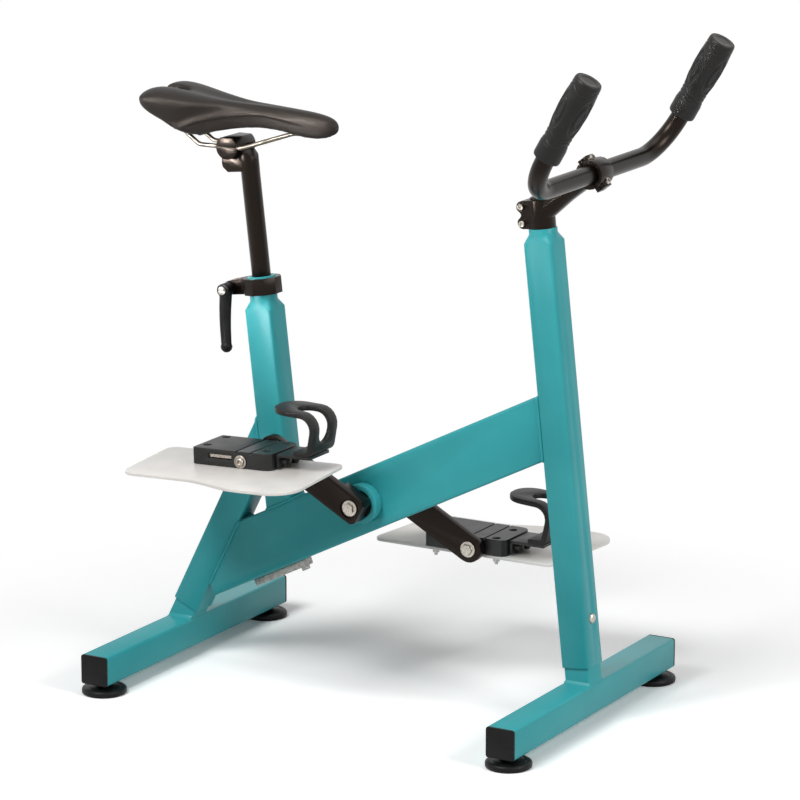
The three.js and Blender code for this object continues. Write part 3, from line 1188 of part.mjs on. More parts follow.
const stemBoltLines = [STEM_MIDDLE - STEM_BOLT_SPACING / 2, STEM_MIDDLE + STEM_BOLT_SPACING / 2];
const barBore = () => moved(crossRod(HANDLE_DIAMETER + 2 * SEAT_GAP, BAR_LENGTH, 2 * ROUND),
  STEM_REACH, 0, 0);

// A ring of the stem's arm: a rectangle with large round corners
function stemRing(x, width, height) {
  return roundedPath(rectangleCorners(width, height, STEM_ROUND), true, CORNER_STEPS)
    .map((p) => new THREE.Vector3(x, p.x, p.y));
}

// Pads above and below the handlebar clamp that take the faceplate's bolts
function facePads(from, to) {
  return [-1, 1].map((side) => moved(block(to - from, HANDLE_CLAMP_WIDTH / 2, FACE_PAD),
    (from + to) / 2, 0, side * FACE_BOLT_SPREAD));
}

const faceHoles = () => [-1, 1].map((side) => moved(
  forwards(rod(STEM_BOLT_HOLE, HANDLE_CLAMP_WIDTH, SMALL_ROUND)),
  STEM_REACH - HANDLE_CLAMP_WIDTH / 2, 0, side * FACE_BOLT_SPREAD));

// The ear behind the steerer clamp: one plate for both bolts, drawn in between them
function stemEar() {
  const [tip, waist] = [STEM_BOLT_X - STEM_EAR_RADIUS, STEM_BOLT_X];
  const half = STEM_BOLT_SPACING / 2 + STEM_EAR_RADIUS;
  return moved(sidePrism(polygon([
    [0, -half], [0, half], [tip, half, STEM_EAR_RADIUS], [tip, STEM_EAR_RADIUS, STEM_EAR_RADIUS / 2],
    [waist, 0, STEM_EAR_RADIUS / 2], [tip, -STEM_EAR_RADIUS, STEM_EAR_RADIUS / 2],
    [tip, -half, STEM_EAR_RADIUS],
  ]), STEM_EAR_WIDTH), 0, 0, STEM_MIDDLE);
}

// Stem: a split clamp on the steerer, an arm, and the rear half of the handlebar's clamp
function stem() {
  const fromSteerer = (geometry) => seenFrom(stemArm, steerer, geometry);
  const clamp = join(moved(rod(STEM_CLAMP_DIAMETER, STEM_CLAMP_HEIGHT), 0, 0, SEAT_GAP), stemEar());
  const arm = loft([
    stemRing(0, STEM_WIDTH, STEM_HEIGHT), stemRing(STEM_REACH / 2, STEM_TIP_WIDTH, STEM_TIP_HEIGHT),
    stemRing(STEM_REACH, STEM_TIP_WIDTH, STEM_TIP_HEIGHT),
  ]);
  const barClamp = moved(crossRod(BAR_CLAMP_DIAMETER, HANDLE_CLAMP_WIDTH), STEM_REACH, 0, 0);
  const holes = stemBoltLines.map((z) => moved(crossRod(STEM_BOLT_HOLE, BAR_LENGTH, SMALL_ROUND),
    STEM_BOLT_X, 0, z));
  const slit = moved(block(2 * STEM_CLAMP_DIAMETER, STEM_SLIT, 2 * STEM_CLAMP_HEIGHT),
    -STEM_CLAMP_DIAMETER, 0, STEM_MIDDLE);
  const bore = moved(rod(STEERER_SOCKET, 2 * STEM_CLAMP_HEIGHT), 0, 0, -STEM_CLAMP_HEIGHT / 2);
  const capRoom = moved(rod(TOP_CAP_DIAMETER + 2 * SEAT_GAP, STEM_CLAMP_HEIGHT),
    0, 0, SEAT_GAP + STEM_CLAMP_HEIGHT);
  return cut(join(fromSteerer(clamp), arm, barClamp, ...facePads(STEM_REACH - FACE_PAD_DEPTH, STEM_REACH)),
    ...[bore, slit, capRoom, ...holes].map(fromSteerer), barBore(), ...faceHoles(),
    ahead(STEM_REACH - FACE_SPLIT / 2));
}

function faceplate() {
  const ring = moved(crossRod(BAR_CLAMP_DIAMETER, HANDLE_CLAMP_WIDTH), STEM_REACH, 0, 0);
  const recess = forwards(rod(STEM_BOLT_HEAD + 2 * SEAT_GAP, BAR_CLAMP_DIAMETER));
  const recesses = [-1, 1].map((side) => moved(recess,
    STEM_REACH + FACE_PAD_DEPTH, 0, side * FACE_BOLT_SPREAD));
  return cut(join(ring, ...facePads(STEM_REACH, STEM_REACH + FACE_PAD_DEPTH)), barBore(), ...faceHoles(),
    ...recesses, behind(STEM_REACH + FACE_SPLIT / 2));
}

const stemScrew = (grip) => capScrew(STEM_BOLT, grip, STEM_BOLT_HEAD, STEM_BOLT_HEAD_HEIGHT,
  STEM_BOLT_SOCKET);
const faceBolt = () => moved(forwards(stemScrew(2 * FACE_PAD_DEPTH - RUN_GAP)),
  STEM_REACH + FACE_PAD_DEPTH + SEAT_GAP, 0, 0);

function steererBolt() {
  const screw = moved(stemScrew(STEM_EAR_WIDTH), 0, 0, STEM_EAR_WIDTH / 2 + SEAT_GAP);
  return moved(turned(screw, PI / 2, 0, 0), STEM_BOLT_X, 0, 0);
}

function topCap() {
  const [r, plug] = [TOP_CAP_DIAMETER / 2, STEERER_DIAMETER / 2 - STEERER_WALL - SEAT_GAP];
  const base = 2 * SEAT_GAP + STEM_CLAMP_HEIGHT;
  return revolve([
    [0, base - TOP_CAP_PLUG], [plug, base - TOP_CAP_PLUG], [plug, base], [r, base], [r, base + TOP_CAP_CROWN],
    [r - TOP_CAP_CROWN, base + TOP_CAP_HEIGHT], [0, base + TOP_CAP_HEIGHT + TOP_CAP_CROWN],
  ]);
}

// Handlebar: a straight middle and two uprights, hollow right through
function handlebar() {
  const end = GRIP_START + GRIP_LENGTH - GRIP_END_WALL - SEAT_GAP;
  const line = (top) => [
    [0, -HANDLE_HALF_WIDTH, top], [0, -HANDLE_HALF_WIDTH, 0, HANDLE_BEND],
    [0, HANDLE_HALF_WIDTH, 0, HANDLE_BEND], [0, HANDLE_HALF_WIDTH, top],
  ];
  return cut(bentRod(line(end), HANDLE_DIAMETER, ROUND),
    bentRod(line(end + OVERRUN), HANDLE_DIAMETER - 2 * HANDLE_WALL));
}

// Places along the grip, with the share of the cuff's size and of the swell there
const gripShares = [
  [0.04, 1, 0], [0.17, 1, 0], [0.21, 0, 0], [0.35, 0, 0.35], [0.5, 0, 0.85], [0.62, 0, 1], [0.76, 0, 0.8],
  [0.88, 0, 0.4],
];

// Left grip: a plain cuff, a waist, a palm swell and a closed end with a rim
function grip() {
  const [bore, end] = [HANDLE_DIAMETER / 2 + SEAT_GAP, GRIP_END / 2];
  const floor = GRIP_LENGTH - GRIP_END_WALL;
  const profile = gripShares.map(([place, cuff, swell]) => [
    lerp(lerp(GRIP_WAIST, GRIP_SWELL, swell), GRIP_CUFF, cuff) / 2, GRIP_LENGTH * place]);
  return moved(revolve([
    [0, floor], [bore, floor], [bore, 0], [GRIP_CUFF / 2 - GRIP_RIM / 2, 0], ...profile,
    [end, GRIP_LENGTH - GRIP_RIM], [end - GRIP_RIM / 2, GRIP_LENGTH], [0, GRIP_LENGTH],
  ]), 0, HANDLE_HALF_WIDTH, GRIP_START);
}

// Assembly

for (const [place, bar, lean] of [['front', frontBar, -FRONT_LEAN], ['rear', rearBar, REAR_LEAN]]) {
  add(bar, `${place}_base_bar`, crossBar(lean), 'turquoise');
  for (const [side, hand] of [['left', 1], ['right', -1]]) {
    const cap = moved(leftwards(endCap()), 0, BAR_LENGTH / 2, BAR_MIDDLE);
    add(bar, `${place}_${side}_end_cap`, hand > 0 ? cap : mirrored(cap), 'black_plastic');
    const [footName, footY] = [`${place}_${side}_foot`, hand * (BAR_LENGTH / 2 - FOOT_INSET)];
    add(bar, footName, moved(foot(), 0, footY, 0), 'black_plastic');
  }
}

add(frontColumn, 'front_column', frontColumnTube(), 'turquoise');
add(frontColumn, 'front_column_bolt', moved(columnBolt(), 0, 0, COLUMN_BOLT_RISE), 'steel');
add(rearLeg, 'rear_leg', rearLegTube(), 'turquoise');
add(rearLeg, 'rear_leg_bolt', moved(turned(columnBolt(), 0, PI, 0), 0, 0, COLUMN_BOLT_RISE), 'steel');
add(beam, 'main_beam', beamTube(), 'turquoise');
add(beam, 'anode', anode(), 'zinc');
add(seatTube, 'seat_tube', seatTubeTube(), 'turquoise');

add(beam, 'bearing_shell', bearingShell(), 'turquoise');
add(leftCrank, 'crank_axle', crankAxle(), 'steel');
for (const [side, arm, pedal, flip] of [
  ['left', leftCrank, leftPedal, (geometry) => geometry], ['right', rightCrank, rightPedal, mirrored],
]) {
  add(beam, `${side}_bearing`, flip(bearing()), 'black_plastic');
  add(arm, `${side}_crank`, flip(crank()), 'black_metal');
  add(arm, `${side}_crank_bolt`, flip(crankBolt()), 'steel');
  add(pedal, `${side}_pedal_axle`, flip(pedalAxle()), 'steel');
  add(pedal, `${side}_pedal_body`, flip(pedalBody()), 'black_plastic');
  add(pedal, `${side}_pedal_inlay`, flip(windowBar(INLAY, INLAY, SEAT_GAP)), 'steel');
  add(pedal, `${side}_pedal_end_screw`, flip(pedalEndScrew()), 'steel');
  add(pedal, `${side}_toe_bracket`, flip(toeBracket()), 'black_plastic');
  add(pedal, `${side}_toe_loop`, flip(toeLoop()), 'rubber');
  add(pedal, `${side}_paddle`, flip(paddle()), 'nylon');
}

add(seatTube, 'seat_collar', collar(), 'black_metal');
add(leverPivot, 'clamp_bolt', clampBolt(), 'steel');
add(leverPivot, 'clamp_lever', lever(), 'black_plastic');
add(seatTube, 'seat_post', seatPost(), 'black_metal');
add(saddle, 'saddle_clamp_lower', clampLower(), 'black_metal');
add(saddle, 'saddle_clamp_upper', clampUpper(), 'black_metal');
add(saddle, 'saddle_clamp_bolt', saddleBolt(), 'steel');
add(saddle, 'saddle_rails', railWire(RAIL_DIAMETER), 'steel');
add(saddle, 'saddle_shell', saddleShell(), 'black_plastic');
add(saddle, 'saddle_pad', saddlePad(), 'cover');

add(steerer, 'steerer', steererTube(), 'steel');
add(steerer, 'stem_top_cap', topCap(), 'black_metal');
add(stemArm, 'stem', stem(), 'black_metal');
add(stemArm, 'stem_faceplate', faceplate(), 'black_metal');
for (const [place, z] of [['lower', -FACE_BOLT_SPREAD], ['upper', FACE_BOLT_SPREAD]]) {
  add(stemArm, `faceplate_${place}_bolt`, moved(faceBolt(), 0, 0, z), 'steel');
}
stemBoltLines.forEach((z, i) => {
  add(steerer, `steerer_${['lower', 'upper'][i]}_bolt`, moved(steererBolt(), 0, 0, z), 'steel');
});
add(handle, 'handlebar', handlebar(), 'black_metal');
add(handle, 'left_grip', grip(), 'rubber');
add(handle, 'right_grip', mirrored(grip()), 'rubber');

// The whole bike is moved so that its origin is on the floor, under the middle of its outline
bike.updateMatrixWorld(true);
const extent = new THREE.Box3().setFromObject(bike, true);
const centre = extent.getCenter(new THREE.Vector3());
bike.position.set(-centre.x, -centre.y, -extent.min.z);

export default bike;
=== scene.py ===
# %% [markdown]
# # An aqua bike, dressed for its portrait
# The bike stands in a pool on four screw feet. Its solids come from the CAD model with true sizes, in
# metres, so this lesson adds what CAD leaves out: rounded edges, soft forms, finishes, light and the
# camera.

# %% Load the solids
import json
import math

import bmesh
import bpy
from mathutils import Matrix, Vector


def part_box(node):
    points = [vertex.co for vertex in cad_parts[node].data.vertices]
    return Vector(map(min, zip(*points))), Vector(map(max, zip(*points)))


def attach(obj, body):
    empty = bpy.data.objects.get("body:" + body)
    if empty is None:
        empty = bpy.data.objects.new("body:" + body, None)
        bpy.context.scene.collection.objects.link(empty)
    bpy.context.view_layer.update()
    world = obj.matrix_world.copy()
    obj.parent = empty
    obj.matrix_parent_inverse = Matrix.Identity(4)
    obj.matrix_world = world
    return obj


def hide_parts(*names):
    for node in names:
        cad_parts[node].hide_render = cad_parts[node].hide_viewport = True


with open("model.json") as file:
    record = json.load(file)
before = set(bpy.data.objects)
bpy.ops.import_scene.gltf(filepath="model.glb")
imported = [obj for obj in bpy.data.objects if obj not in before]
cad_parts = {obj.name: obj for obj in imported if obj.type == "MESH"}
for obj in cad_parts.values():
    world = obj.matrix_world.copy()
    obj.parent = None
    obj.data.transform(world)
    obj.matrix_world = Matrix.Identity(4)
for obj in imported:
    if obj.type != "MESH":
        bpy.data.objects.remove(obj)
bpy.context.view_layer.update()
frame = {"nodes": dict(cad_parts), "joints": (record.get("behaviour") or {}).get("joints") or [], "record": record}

print(len(frame["nodes"]), "solids loaded")

# %% [markdown]
# Lengths are easier to read in millimetres, as on a maker's drawing, while Blender works in metres. One
# factor turns them. The body that carries each solid is looked up once, because every new piece rides on
# one. Many pieces come in pairs, so the two sides are named once, with their sign along Y.

# %% Units, sides and bodies
MM = 0.001
SIDES = (("left", 1), ("right", -1))
BODY_OF = {
    node: body for body, nodes in frame["record"]["behaviour"]["bodies"].items() for node in nodes}


def box_of(node):
    """The lowest and highest corner of a solid, and its middle."""
    low, high = (Vector(corner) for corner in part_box(node))
    return low, high, (low + high) / 2


print(len(set(BODY_OF.values())), "bodies carry them")

# %% [markdown]
# ## Camera
# The photograph was taken from far away with a long lens, so upright edges stay parallel. A camera 6.6 m
# off, 30 degrees round to the rider's right and 14 degrees up, gives the same lines. Its lens is 181 mm on
# a 36 mm sensor, which frames the bike as the photograph does.

# %% Camera
AZIMUTH, ELEVATION, DISTANCE = math.radians(29.86), math.radians(13.65), 6.59
LENS, SENSOR_WIDTH = 180.9, 36
target = Vector((-0.0270, 0.0337, 0.4854))
back = Vector((
    math.sin(AZIMUTH) * math.cos(ELEVATION),
    -math.cos(AZIMUTH) * math.cos(ELEVATION),
    math.sin(ELEVATION)))
bpy.ops.object.camera_add(
    location=target + back * DISTANCE, rotation=(-back).to_track_quat("-Z", "Y").to_euler())
camera = bpy.context.object
camera.data.sensor_width = SENSOR_WIDTH
camera.data.lens = LENS
bpy.context.scene.camera = camera
print("camera at", tuple(round(value, 3) for value in camera.location))

# %% [markdown]
# ## Materials
# Every finish is built from shader nodes. One small function adds a node, sets it and links it. Another
# turns a colour picked from the screen, which is sRGB, into the linear values that Blender mixes light
# with. A ramp lies between two such colours. Its ends are set a little inside 0 and 1, because a noise
# pattern seldom reaches further. Each pattern is given by the size of its forms in millimetres.

# %% A node and a colour
RAMP_ENDS = (0.3, 0.7)


def linear(colour):
    """Linear RGBA of an sRGB hex colour such as '5ab5bc'."""
    parts = [int(colour[i:i + 2], 16) / 255 for i in (0, 2, 4)]
    return (*[c / 12.92 if c <= 0.04045 else ((c + 0.055) / 1.055) ** 2.4 for c in parts], 1.0)


def set_inputs(node, inputs):
    """Links each input that is given as a socket, and sets any other."""
    for name, value in inputs.items():
        if isinstance(value, bpy.types.NodeSocket):
            node.id_data.links.new(value, node.inputs[name])
        else:
            node.inputs[name].default_value = value


def add_node(tree, kind, inputs=None, tones=(), **settings):
    """Adds a shader node with its settings and links. The tones are the two ends of a ramp."""
    node = tree.nodes.new(kind)
    for name, value in settings.items():
        setattr(node, name, value)
    for place, tone in enumerate(tones):
        node.color_ramp.elements[place].position = RAMP_ENDS[place]
        node.color_ramp.elements[place].color = linear(tone)
    set_inputs(node, inputs or {})
    return node


def new_material(name, sockets):
    """A material with its shader's values, and the place on the object that patterns read."""
    material = bpy.data.materials.new(name)
    material.use_nodes = True
    tree = material.node_tree
    shader = tree.nodes["Principled BSDF"]
    set_inputs(shader, sockets)
    place = add_node(tree, "ShaderNodeTexCoord").outputs["Object"]
    print("finish:", name)
    return material, tree, shader, place


def scale_of(size):
    """The scale of a pattern whose forms are so many millimetres across."""
    return 1 / (size * MM)


# %% [markdown]
# ### Turquoise powder coat
# The frame is sprayed with dry powder and baked. The coat is smooth and satin with a faint orange peel
# about 2 mm across, and its colour drifts very slightly over a long tube.

# %% Turquoise powder coat
powder_coat, tree, shader, place = new_material(
    "turquoise_powder_coat", {"Roughness": 0.33, "IOR": 1.5, "Specular IOR Level": 0.2})
drift = add_node(tree, "ShaderNodeTexNoise", {
    "Vector": place, "Scale": scale_of(140), "Detail": 2.0})
tint = add_node(tree, "ShaderNodeValToRGB", {"Fac": drift.outputs["Fac"]}, ("2f979d", "3aa2a7"))
peel = add_node(tree, "ShaderNodeTexNoise", {"Vector": place, "Scale": scale_of(2), "Detail": 1.0})
bump = add_node(tree, "ShaderNodeBump", {
    "Height": peel.outputs["Fac"], "Strength": 0.12, "Distance": 0.1 * MM})
set_inputs(shader, {"Base Color": tint.outputs["Color"], "Normal": bump.outputs["Normal"]})

# %% [markdown]
# ### Moulded black plastic
# Pedals, caps and feet are moulded in glass-filled nylon. The mould was spark-eroded, which leaves a fine
# grain that breaks up the highlights. Handling rubs the grain a little smoother in patches.

# %% Moulded black plastic
moulded_nylon, tree, shader, place = new_material(
    "moulded_glass_filled_nylon", {"IOR": 1.53, "Specular IOR Level": 0.16})
patches = add_node(tree, "ShaderNodeTexNoise", {
    "Vector": place, "Scale": scale_of(25), "Detail": 3.0})
tint = add_node(tree, "ShaderNodeValToRGB", {"Fac": patches.outputs["Fac"]}, ("080808", "111111"))
rubbed = add_node(tree, "ShaderNodeMapRange", {
    "Value": patches.outputs["Fac"], "To Min": 0.34, "To Max": 0.48})
grain = add_node(tree, "ShaderNodeTexNoise", {
    "Vector": place, "Scale": scale_of(0.9), "Detail": 2.0})
bump = add_node(tree, "ShaderNodeBump", {
    "Height": grain.outputs["Fac"], "Strength": 0.35, "Distance": 0.1 * MM})
set_inputs(shader, {
    "Base Color": tint.outputs["Color"], "Roughness": rubbed.outputs["Result"],
    "Normal": bump.outputs["Normal"]})

# %% [markdown]
# The pedals are of the same nylon, but shoes polish it. Their material is a copy of the one above whose
# shader reflects more, so their tops catch the light and their screw holes stay dark.

# %% Rubbed plastic of the pedals
rubbed_nylon = moulded_nylon.copy()
rubbed_nylon.name = "moulded_nylon_rubbed_by_shoes"
set_inputs(rubbed_nylon.node_tree.nodes["Principled BSDF"], {"Specular IOR Level": 0.42})
print("finish:", rubbed_nylon.name)

# %% [markdown]
# ### Black coated metal
# Post, stem, handlebar and cranks are bead-blasted alloy with a thin satin black coat. It is darker and
# glossier than the plastic. Its reflections carry a painted warm tint, in place of warm light, which makes it
# look slightly brown. The coat fills most of the blasted grain, so very little of it is left.

# %% Black coated metal
# The Specular Tint is a painted warm reflection: it tints every reflection brown in place of warm light.
satin_black, tree, shader, place = new_material("satin_black_coated_alloy", {
    "Roughness": 0.28, "IOR": 1.5, "Specular IOR Level": 0.28, "Specular Tint": linear("ecd4c4")})
blast = add_node(tree, "ShaderNodeTexNoise", {
    "Vector": place, "Scale": scale_of(1.2), "Detail": 1.0})
tint = add_node(tree, "ShaderNodeValToRGB", {"Fac": blast.outputs["Fac"]}, ("040302", "090605"))
bump = add_node(tree, "ShaderNodeBump", {
    "Height": blast.outputs["Fac"], "Strength": 0.02, "Distance": 0.05 * MM})
set_inputs(shader, {"Base Color": tint.outputs["Color"], "Normal": bump.outputs["Normal"]})

# %% [markdown]
# ### Rubber
# Grips and toe loops are moulded rubber: nearly black, dull, with a slight bloom where the light grazes
# it. Their grain is faint.

# %% Rubber
soft_rubber, tree, shader, place = new_material("moulded_rubber", {
    "Roughness": 0.46, "IOR": 1.52, "Specular IOR Level": 0.26, "Sheen Weight": 0.02,
    "Sheen Roughness": 0.5})
bloom = add_node(tree, "ShaderNodeTexNoise", {
    "Vector": place, "Scale": scale_of(18), "Detail": 4.0})
tint = add_node(tree, "ShaderNodeValToRGB", {"Fac": bloom.outputs["Fac"]}, ("100f0e", "1a1817"))
grain = add_node(tree, "ShaderNodeTexNoise", {
    "Vector": place, "Scale": scale_of(0.8), "Detail": 2.0})
bump = add_node(tree, "ShaderNodeBump", {
    "Height": grain.outputs["Fac"], "Strength": 0.06, "Distance": 0.1 * MM})
set_inputs(shader, {"Base Color": tint.outputs["Color"], "Normal": bump.outputs["Normal"]})

# %% [markdown]
# ### Stainless steel
# Bolts and axles are turned from stainless steel. Fine lines left by the tool stretch the highlights, and
# a pool leaves them a little dull.

# %% Stainless steel
turned_steel, tree, shader, place = new_material("turned_stainless_steel", {"Metallic": 1.0})
stretch = add_node(tree, "ShaderNodeMapping", {"Vector": place, "Scale": (1.0, 12.0, 1.0)})
lines = add_node(tree, "ShaderNodeTexNoise", {
    "Vector": stretch.outputs["Vector"], "Scale": scale_of(3), "Detail": 3.0})
tint = add_node(tree, "ShaderNodeValToRGB", {"Fac": lines.outputs["Fac"]}, ("a59e94", "cbc4ba"))
dull = add_node(tree, "ShaderNodeMapRange", {
    "Value": lines.outputs["Fac"], "To Min": 0.2, "To Max": 0.38})
set_inputs(shader, {"Base Color": tint.outputs["Color"], "Roughness": dull.outputs["Result"]})

# %% [markdown]
# ### Cast zinc
# The bar under the beam is a sacrificial anode. It is cast, grey and dull, and it pits as it is eaten
# away.

# %% Cast zinc
cast_zinc, tree, shader, place = new_material("cast_zinc", {"Roughness": 0.5, "Metallic": 0.7})
pits = add_node(tree, "ShaderNodeTexNoise", {"Vector": place, "Scale": scale_of(5), "Detail": 6.0})
tint = add_node(tree, "ShaderNodeValToRGB", {"Fac": pits.outputs["Fac"]}, ("85837f", "b3b1ac"))
bump = add_node(tree, "ShaderNodeBump", {
    "Height": pits.outputs["Fac"], "Strength": 0.5, "Distance": 0.4 * MM})
set_inputs(shader, {"Base Color": tint.outputs["Color"], "Normal": bump.outputs["Normal"]})

# %% [markdown]
# ### Milky nylon sheet
# The paddles are sawn from a natural nylon sheet, which lets light in and scatters it. Subsurface
# scattering of a few millimetres gives that glow, and the face keeps a soft shine.

# %% Milky nylon sheet
milky_nylon, tree, shader, place = new_material("natural_nylon_sheet", {
    "Roughness": 0.38, "IOR": 1.53, "Subsurface Weight": 0.35,
    "Subsurface Radius": (1.0, 0.9, 0.8), "Subsurface Scale": 4 * MM})
cloud = add_node(tree, "ShaderNodeTexNoise", {
    "Vector": place, "Scale": scale_of(60), "Detail": 3.0})
tint = add_node(tree, "ShaderNodeValToRGB", {"Fac": cloud.outputs["Fac"]}, ("dcd8d3", "e8e4e0"))
saw = add_node(tree, "ShaderNodeTexNoise", {"Vector": place, "Scale": scale_of(4), "Detail": 2.0})
bump = add_node(tree, "ShaderNodeBump", {
    "Height": saw.outputs["Fac"], "Strength": 0.08, "Distance": 0.1 * MM})
set_inputs(shader, {"Base Color": tint.outputs["Color"], "Normal": bump.outputs["Normal"]})

# %% [markdown]
# ### Saddle cover
# The saddle wears a coated fabric that imitates leather: black, satin, with a fine pebble about 1 mm
# across.

# %% Saddle cover
# The Specular Tint is a painted warm reflection: it tints every reflection slightly brown in place of warm light.
saddle_cover, tree, shader, place = new_material("saddle_synthetic_leather", {
    "IOR": 1.48, "Specular IOR Level": 0.4, "Specular Tint": linear("f0e0d4")})
pebble = add_node(tree, "ShaderNodeTexVoronoi", {"Vector": place, "Scale": scale_of(1.3)})
wear = add_node(tree, "ShaderNodeTexNoise", {"Vector": place, "Scale": scale_of(45), "Detail": 3.0})
tint = add_node(tree, "ShaderNodeValToRGB", {"Fac": wear.outputs["Fac"]}, ("060505", "0d0b0a"))
shine = add_node(tree, "ShaderNodeMapRange", {
    "Value": wear.outputs["Fac"], "To Min": 0.43, "To Max": 0.52})
bump = add_node(tree, "ShaderNodeBump", {
    "Height": pebble.outputs["Distance"], "Strength": 0.12, "Distance": 0.1 * MM})
set_inputs(shader, {
    "Base Color": tint.outputs["Color"], "Roughness": shine.outputs["Result"],
    "Normal": bump.outputs["Normal"]})

# %% [markdown]
# ### Drawn steel wire
# The saddle's rails are one wire drawn through a die and left as it came. It is darker and duller than
# the turned bolts, with broad dusky patches.

# %% Drawn steel wire
drawn_wire, tree, shader, place = new_material(
    "drawn_steel_wire", {"Roughness": 0.34, "Metallic": 1.0})
dusk = add_node(tree, "ShaderNodeTexNoise", {"Vector": place, "Scale": scale_of(12), "Detail": 3.0})
tint = add_node(tree, "ShaderNodeValToRGB", {"Fac": dusk.outputs["Fac"]}, ("57514b", "857d74"))
set_inputs(shader, {"Base Color": tint.outputs["Color"]})

# %% [markdown]
# ## Which finish goes where
# The record names a material slot for each solid. The same names pick the finishes made above. Only the
# pedals and their brackets differ, because shoes rub them.

# %% Finishes by slot
FINISH_OF_SLOT = {
    "frame_paint": powder_coat, "moulded_plastic": moulded_nylon, "black_metal": satin_black,
    "rubber": soft_rubber, "steel": turned_steel, "zinc": cast_zinc, "white_nylon": milky_nylon,
    "saddle_cover": saddle_cover,
}
SLOT_OF = {part["node"]: part["material_slot"] for part in frame["record"]["subparts"]}
RUBBED_NODES = ("left_pedal_body", "right_pedal_body", "left_toe_bracket", "right_toe_bracket")


def finish_of(node):
    """The material of a solid and of what stands for it."""
    return rubbed_nylon if node in RUBBED_NODES else FINISH_OF_SLOT[SLOT_OF[node]]


for node, solid in frame["nodes"].items():
    solid.data.materials.clear()
    solid.data.materials.append(finish_of(node))
print(len(frame["nodes"]), "solids have a finish")

# %% [markdown]
# ## Copying and finishing a piece
# A solid is never changed. A copy with its own mesh is made, shaped and given its finish, and then it
# stands for the solid. Operators act on all that is selected, so one function selects a single piece
# first. Faces that meet at less than a set angle are shaded smooth, and sharper edges are kept.


# %% Copy, modifier and finish
def only(piece):
    """Deselects everything but one piece and makes it the active one."""
    bpy.ops.object.select_all(action="DESELECT")
    piece.select_set(True)
    bpy.context.view_layer.objects.active = piece


def copied(mesh, name):
    """A new object with its own copy of a mesh."""
    piece = bpy.data.objects.new(name, mesh.copy())
    bpy.context.scene.collection.objects.link(piece)
    return piece


def apply_modifier(piece, kind, **settings):
    """Adds a modifier to a piece, sets it and applies it."""
    only(piece)
    modifier = piece.modifiers.new(kind, kind)
    for name, value in settings.items():
        setattr(modifier, name, value)
    bpy.ops.object.modifier_apply(modifier=modifier.name)


def finish(piece, material, smooth_angle=35.0):
    """Gives a piece one material and smooth faces, with its sharp edges kept."""
    piece.data.materials.clear()
    piece.data.materials.append(material)
    only(piece)
    bpy.ops.object.shade_smooth_by_angle(angle=math.radians(smooth_angle))


def stands_for(piece, node, material, smooth_angle=35.0):
    """Finishes a new piece and lets it take a solid's place."""
    finish(piece, material, smooth_angle)
    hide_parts(node)
    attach(piece, BODY_OF[node])


# %% [markdown]
# ## Rounded edges
# No real edge is perfectly sharp: a welded tube has a radius, and a moulded part has a broken edge that
# catches the light. A copy of each solid has its loose triangles merged, its flat faces joined, and a
# bevel put on its edges. The table gives the width of each bevel in millimetres.

# %% Dressing a solid
MERGE = 0.005 * MM  # corners closer than this are one
FLAT_WITHIN, EDGE_FROM = math.radians(1.0), math.radians(32)
EDGE_OF_NODE = {
    "front_base_bar": 0.6, "rear_base_bar": 0.6, "front_column": 0.6, "rear_leg": 0.6,
    "main_beam": 0.6, "seat_tube": 0.6, "bearing_shell": 0.8, "anode": 1.0, "left_crank": 1.5,
    "right_crank": 1.5, "left_pedal_body": 1.2, "right_pedal_body": 1.2, "left_toe_bracket": 0.8,
    "right_toe_bracket": 0.8, "left_toe_loop": 1.6, "right_toe_loop": 1.6, "left_paddle": 0.7,
    "right_paddle": 0.7, "seat_collar": 1.2, "seat_post": 1.2, "stem": 1.2, "stem_faceplate": 1.2,
    "clamp_lever": 1.0, "saddle_clamp_lower": 0.6, "saddle_clamp_upper": 0.6, "saddle_shell": 0.6,
    "stem_top_cap": 0.4, "left_crank_bolt": 0.4, "right_crank_bolt": 0.4, "left_pedal_axle": 0.4,
    "right_pedal_axle": 0.4, "clamp_bolt": 0.4, "front_left_end_cap": 1.0,
    "front_right_end_cap": 1.0, "rear_left_end_cap": 1.0, "rear_right_end_cap": 1.0,
}


def dressed(node, edge):
    """A copy of a solid with its edges rounded by so many millimetres, standing for it."""
    piece = copied(frame["nodes"][node].data, node + "_finished")
    only(piece)
    bpy.ops.object.mode_set(mode="EDIT")
    bpy.ops.mesh.select_all(action="SELECT")
    bpy.ops.mesh.remove_doubles(threshold=MERGE)
    bpy.ops.mesh.dissolve_limited(angle_limit=FLAT_WITHIN)
    bpy.ops.object.mode_set(mode="OBJECT")
    apply_modifier(
        piece, "BEVEL", width=edge * MM, segments=2, limit_method="ANGLE", angle_limit=EDGE_FROM,
        use_clamp_overlap=True, miter_outer="MITER_ARC")
    stands_for(piece, node, finish_of(node))
    return piece


dressed_pieces = {node: dressed(node, edge) for node, edge in EDGE_OF_NODE.items()}
print(len(dressed_pieces), "solids with rounded edges")

# %% [markdown]
# ## Turned pieces
# Feet, grips and screw heads are round about an axis, so they are made as on a lathe. A disc is added,
# and its rim is extruded ring by ring through a list of radii and heights, each ring scaled to its
# radius. That is the same as drawing half a section and turning it, but each ring can be checked by eye.


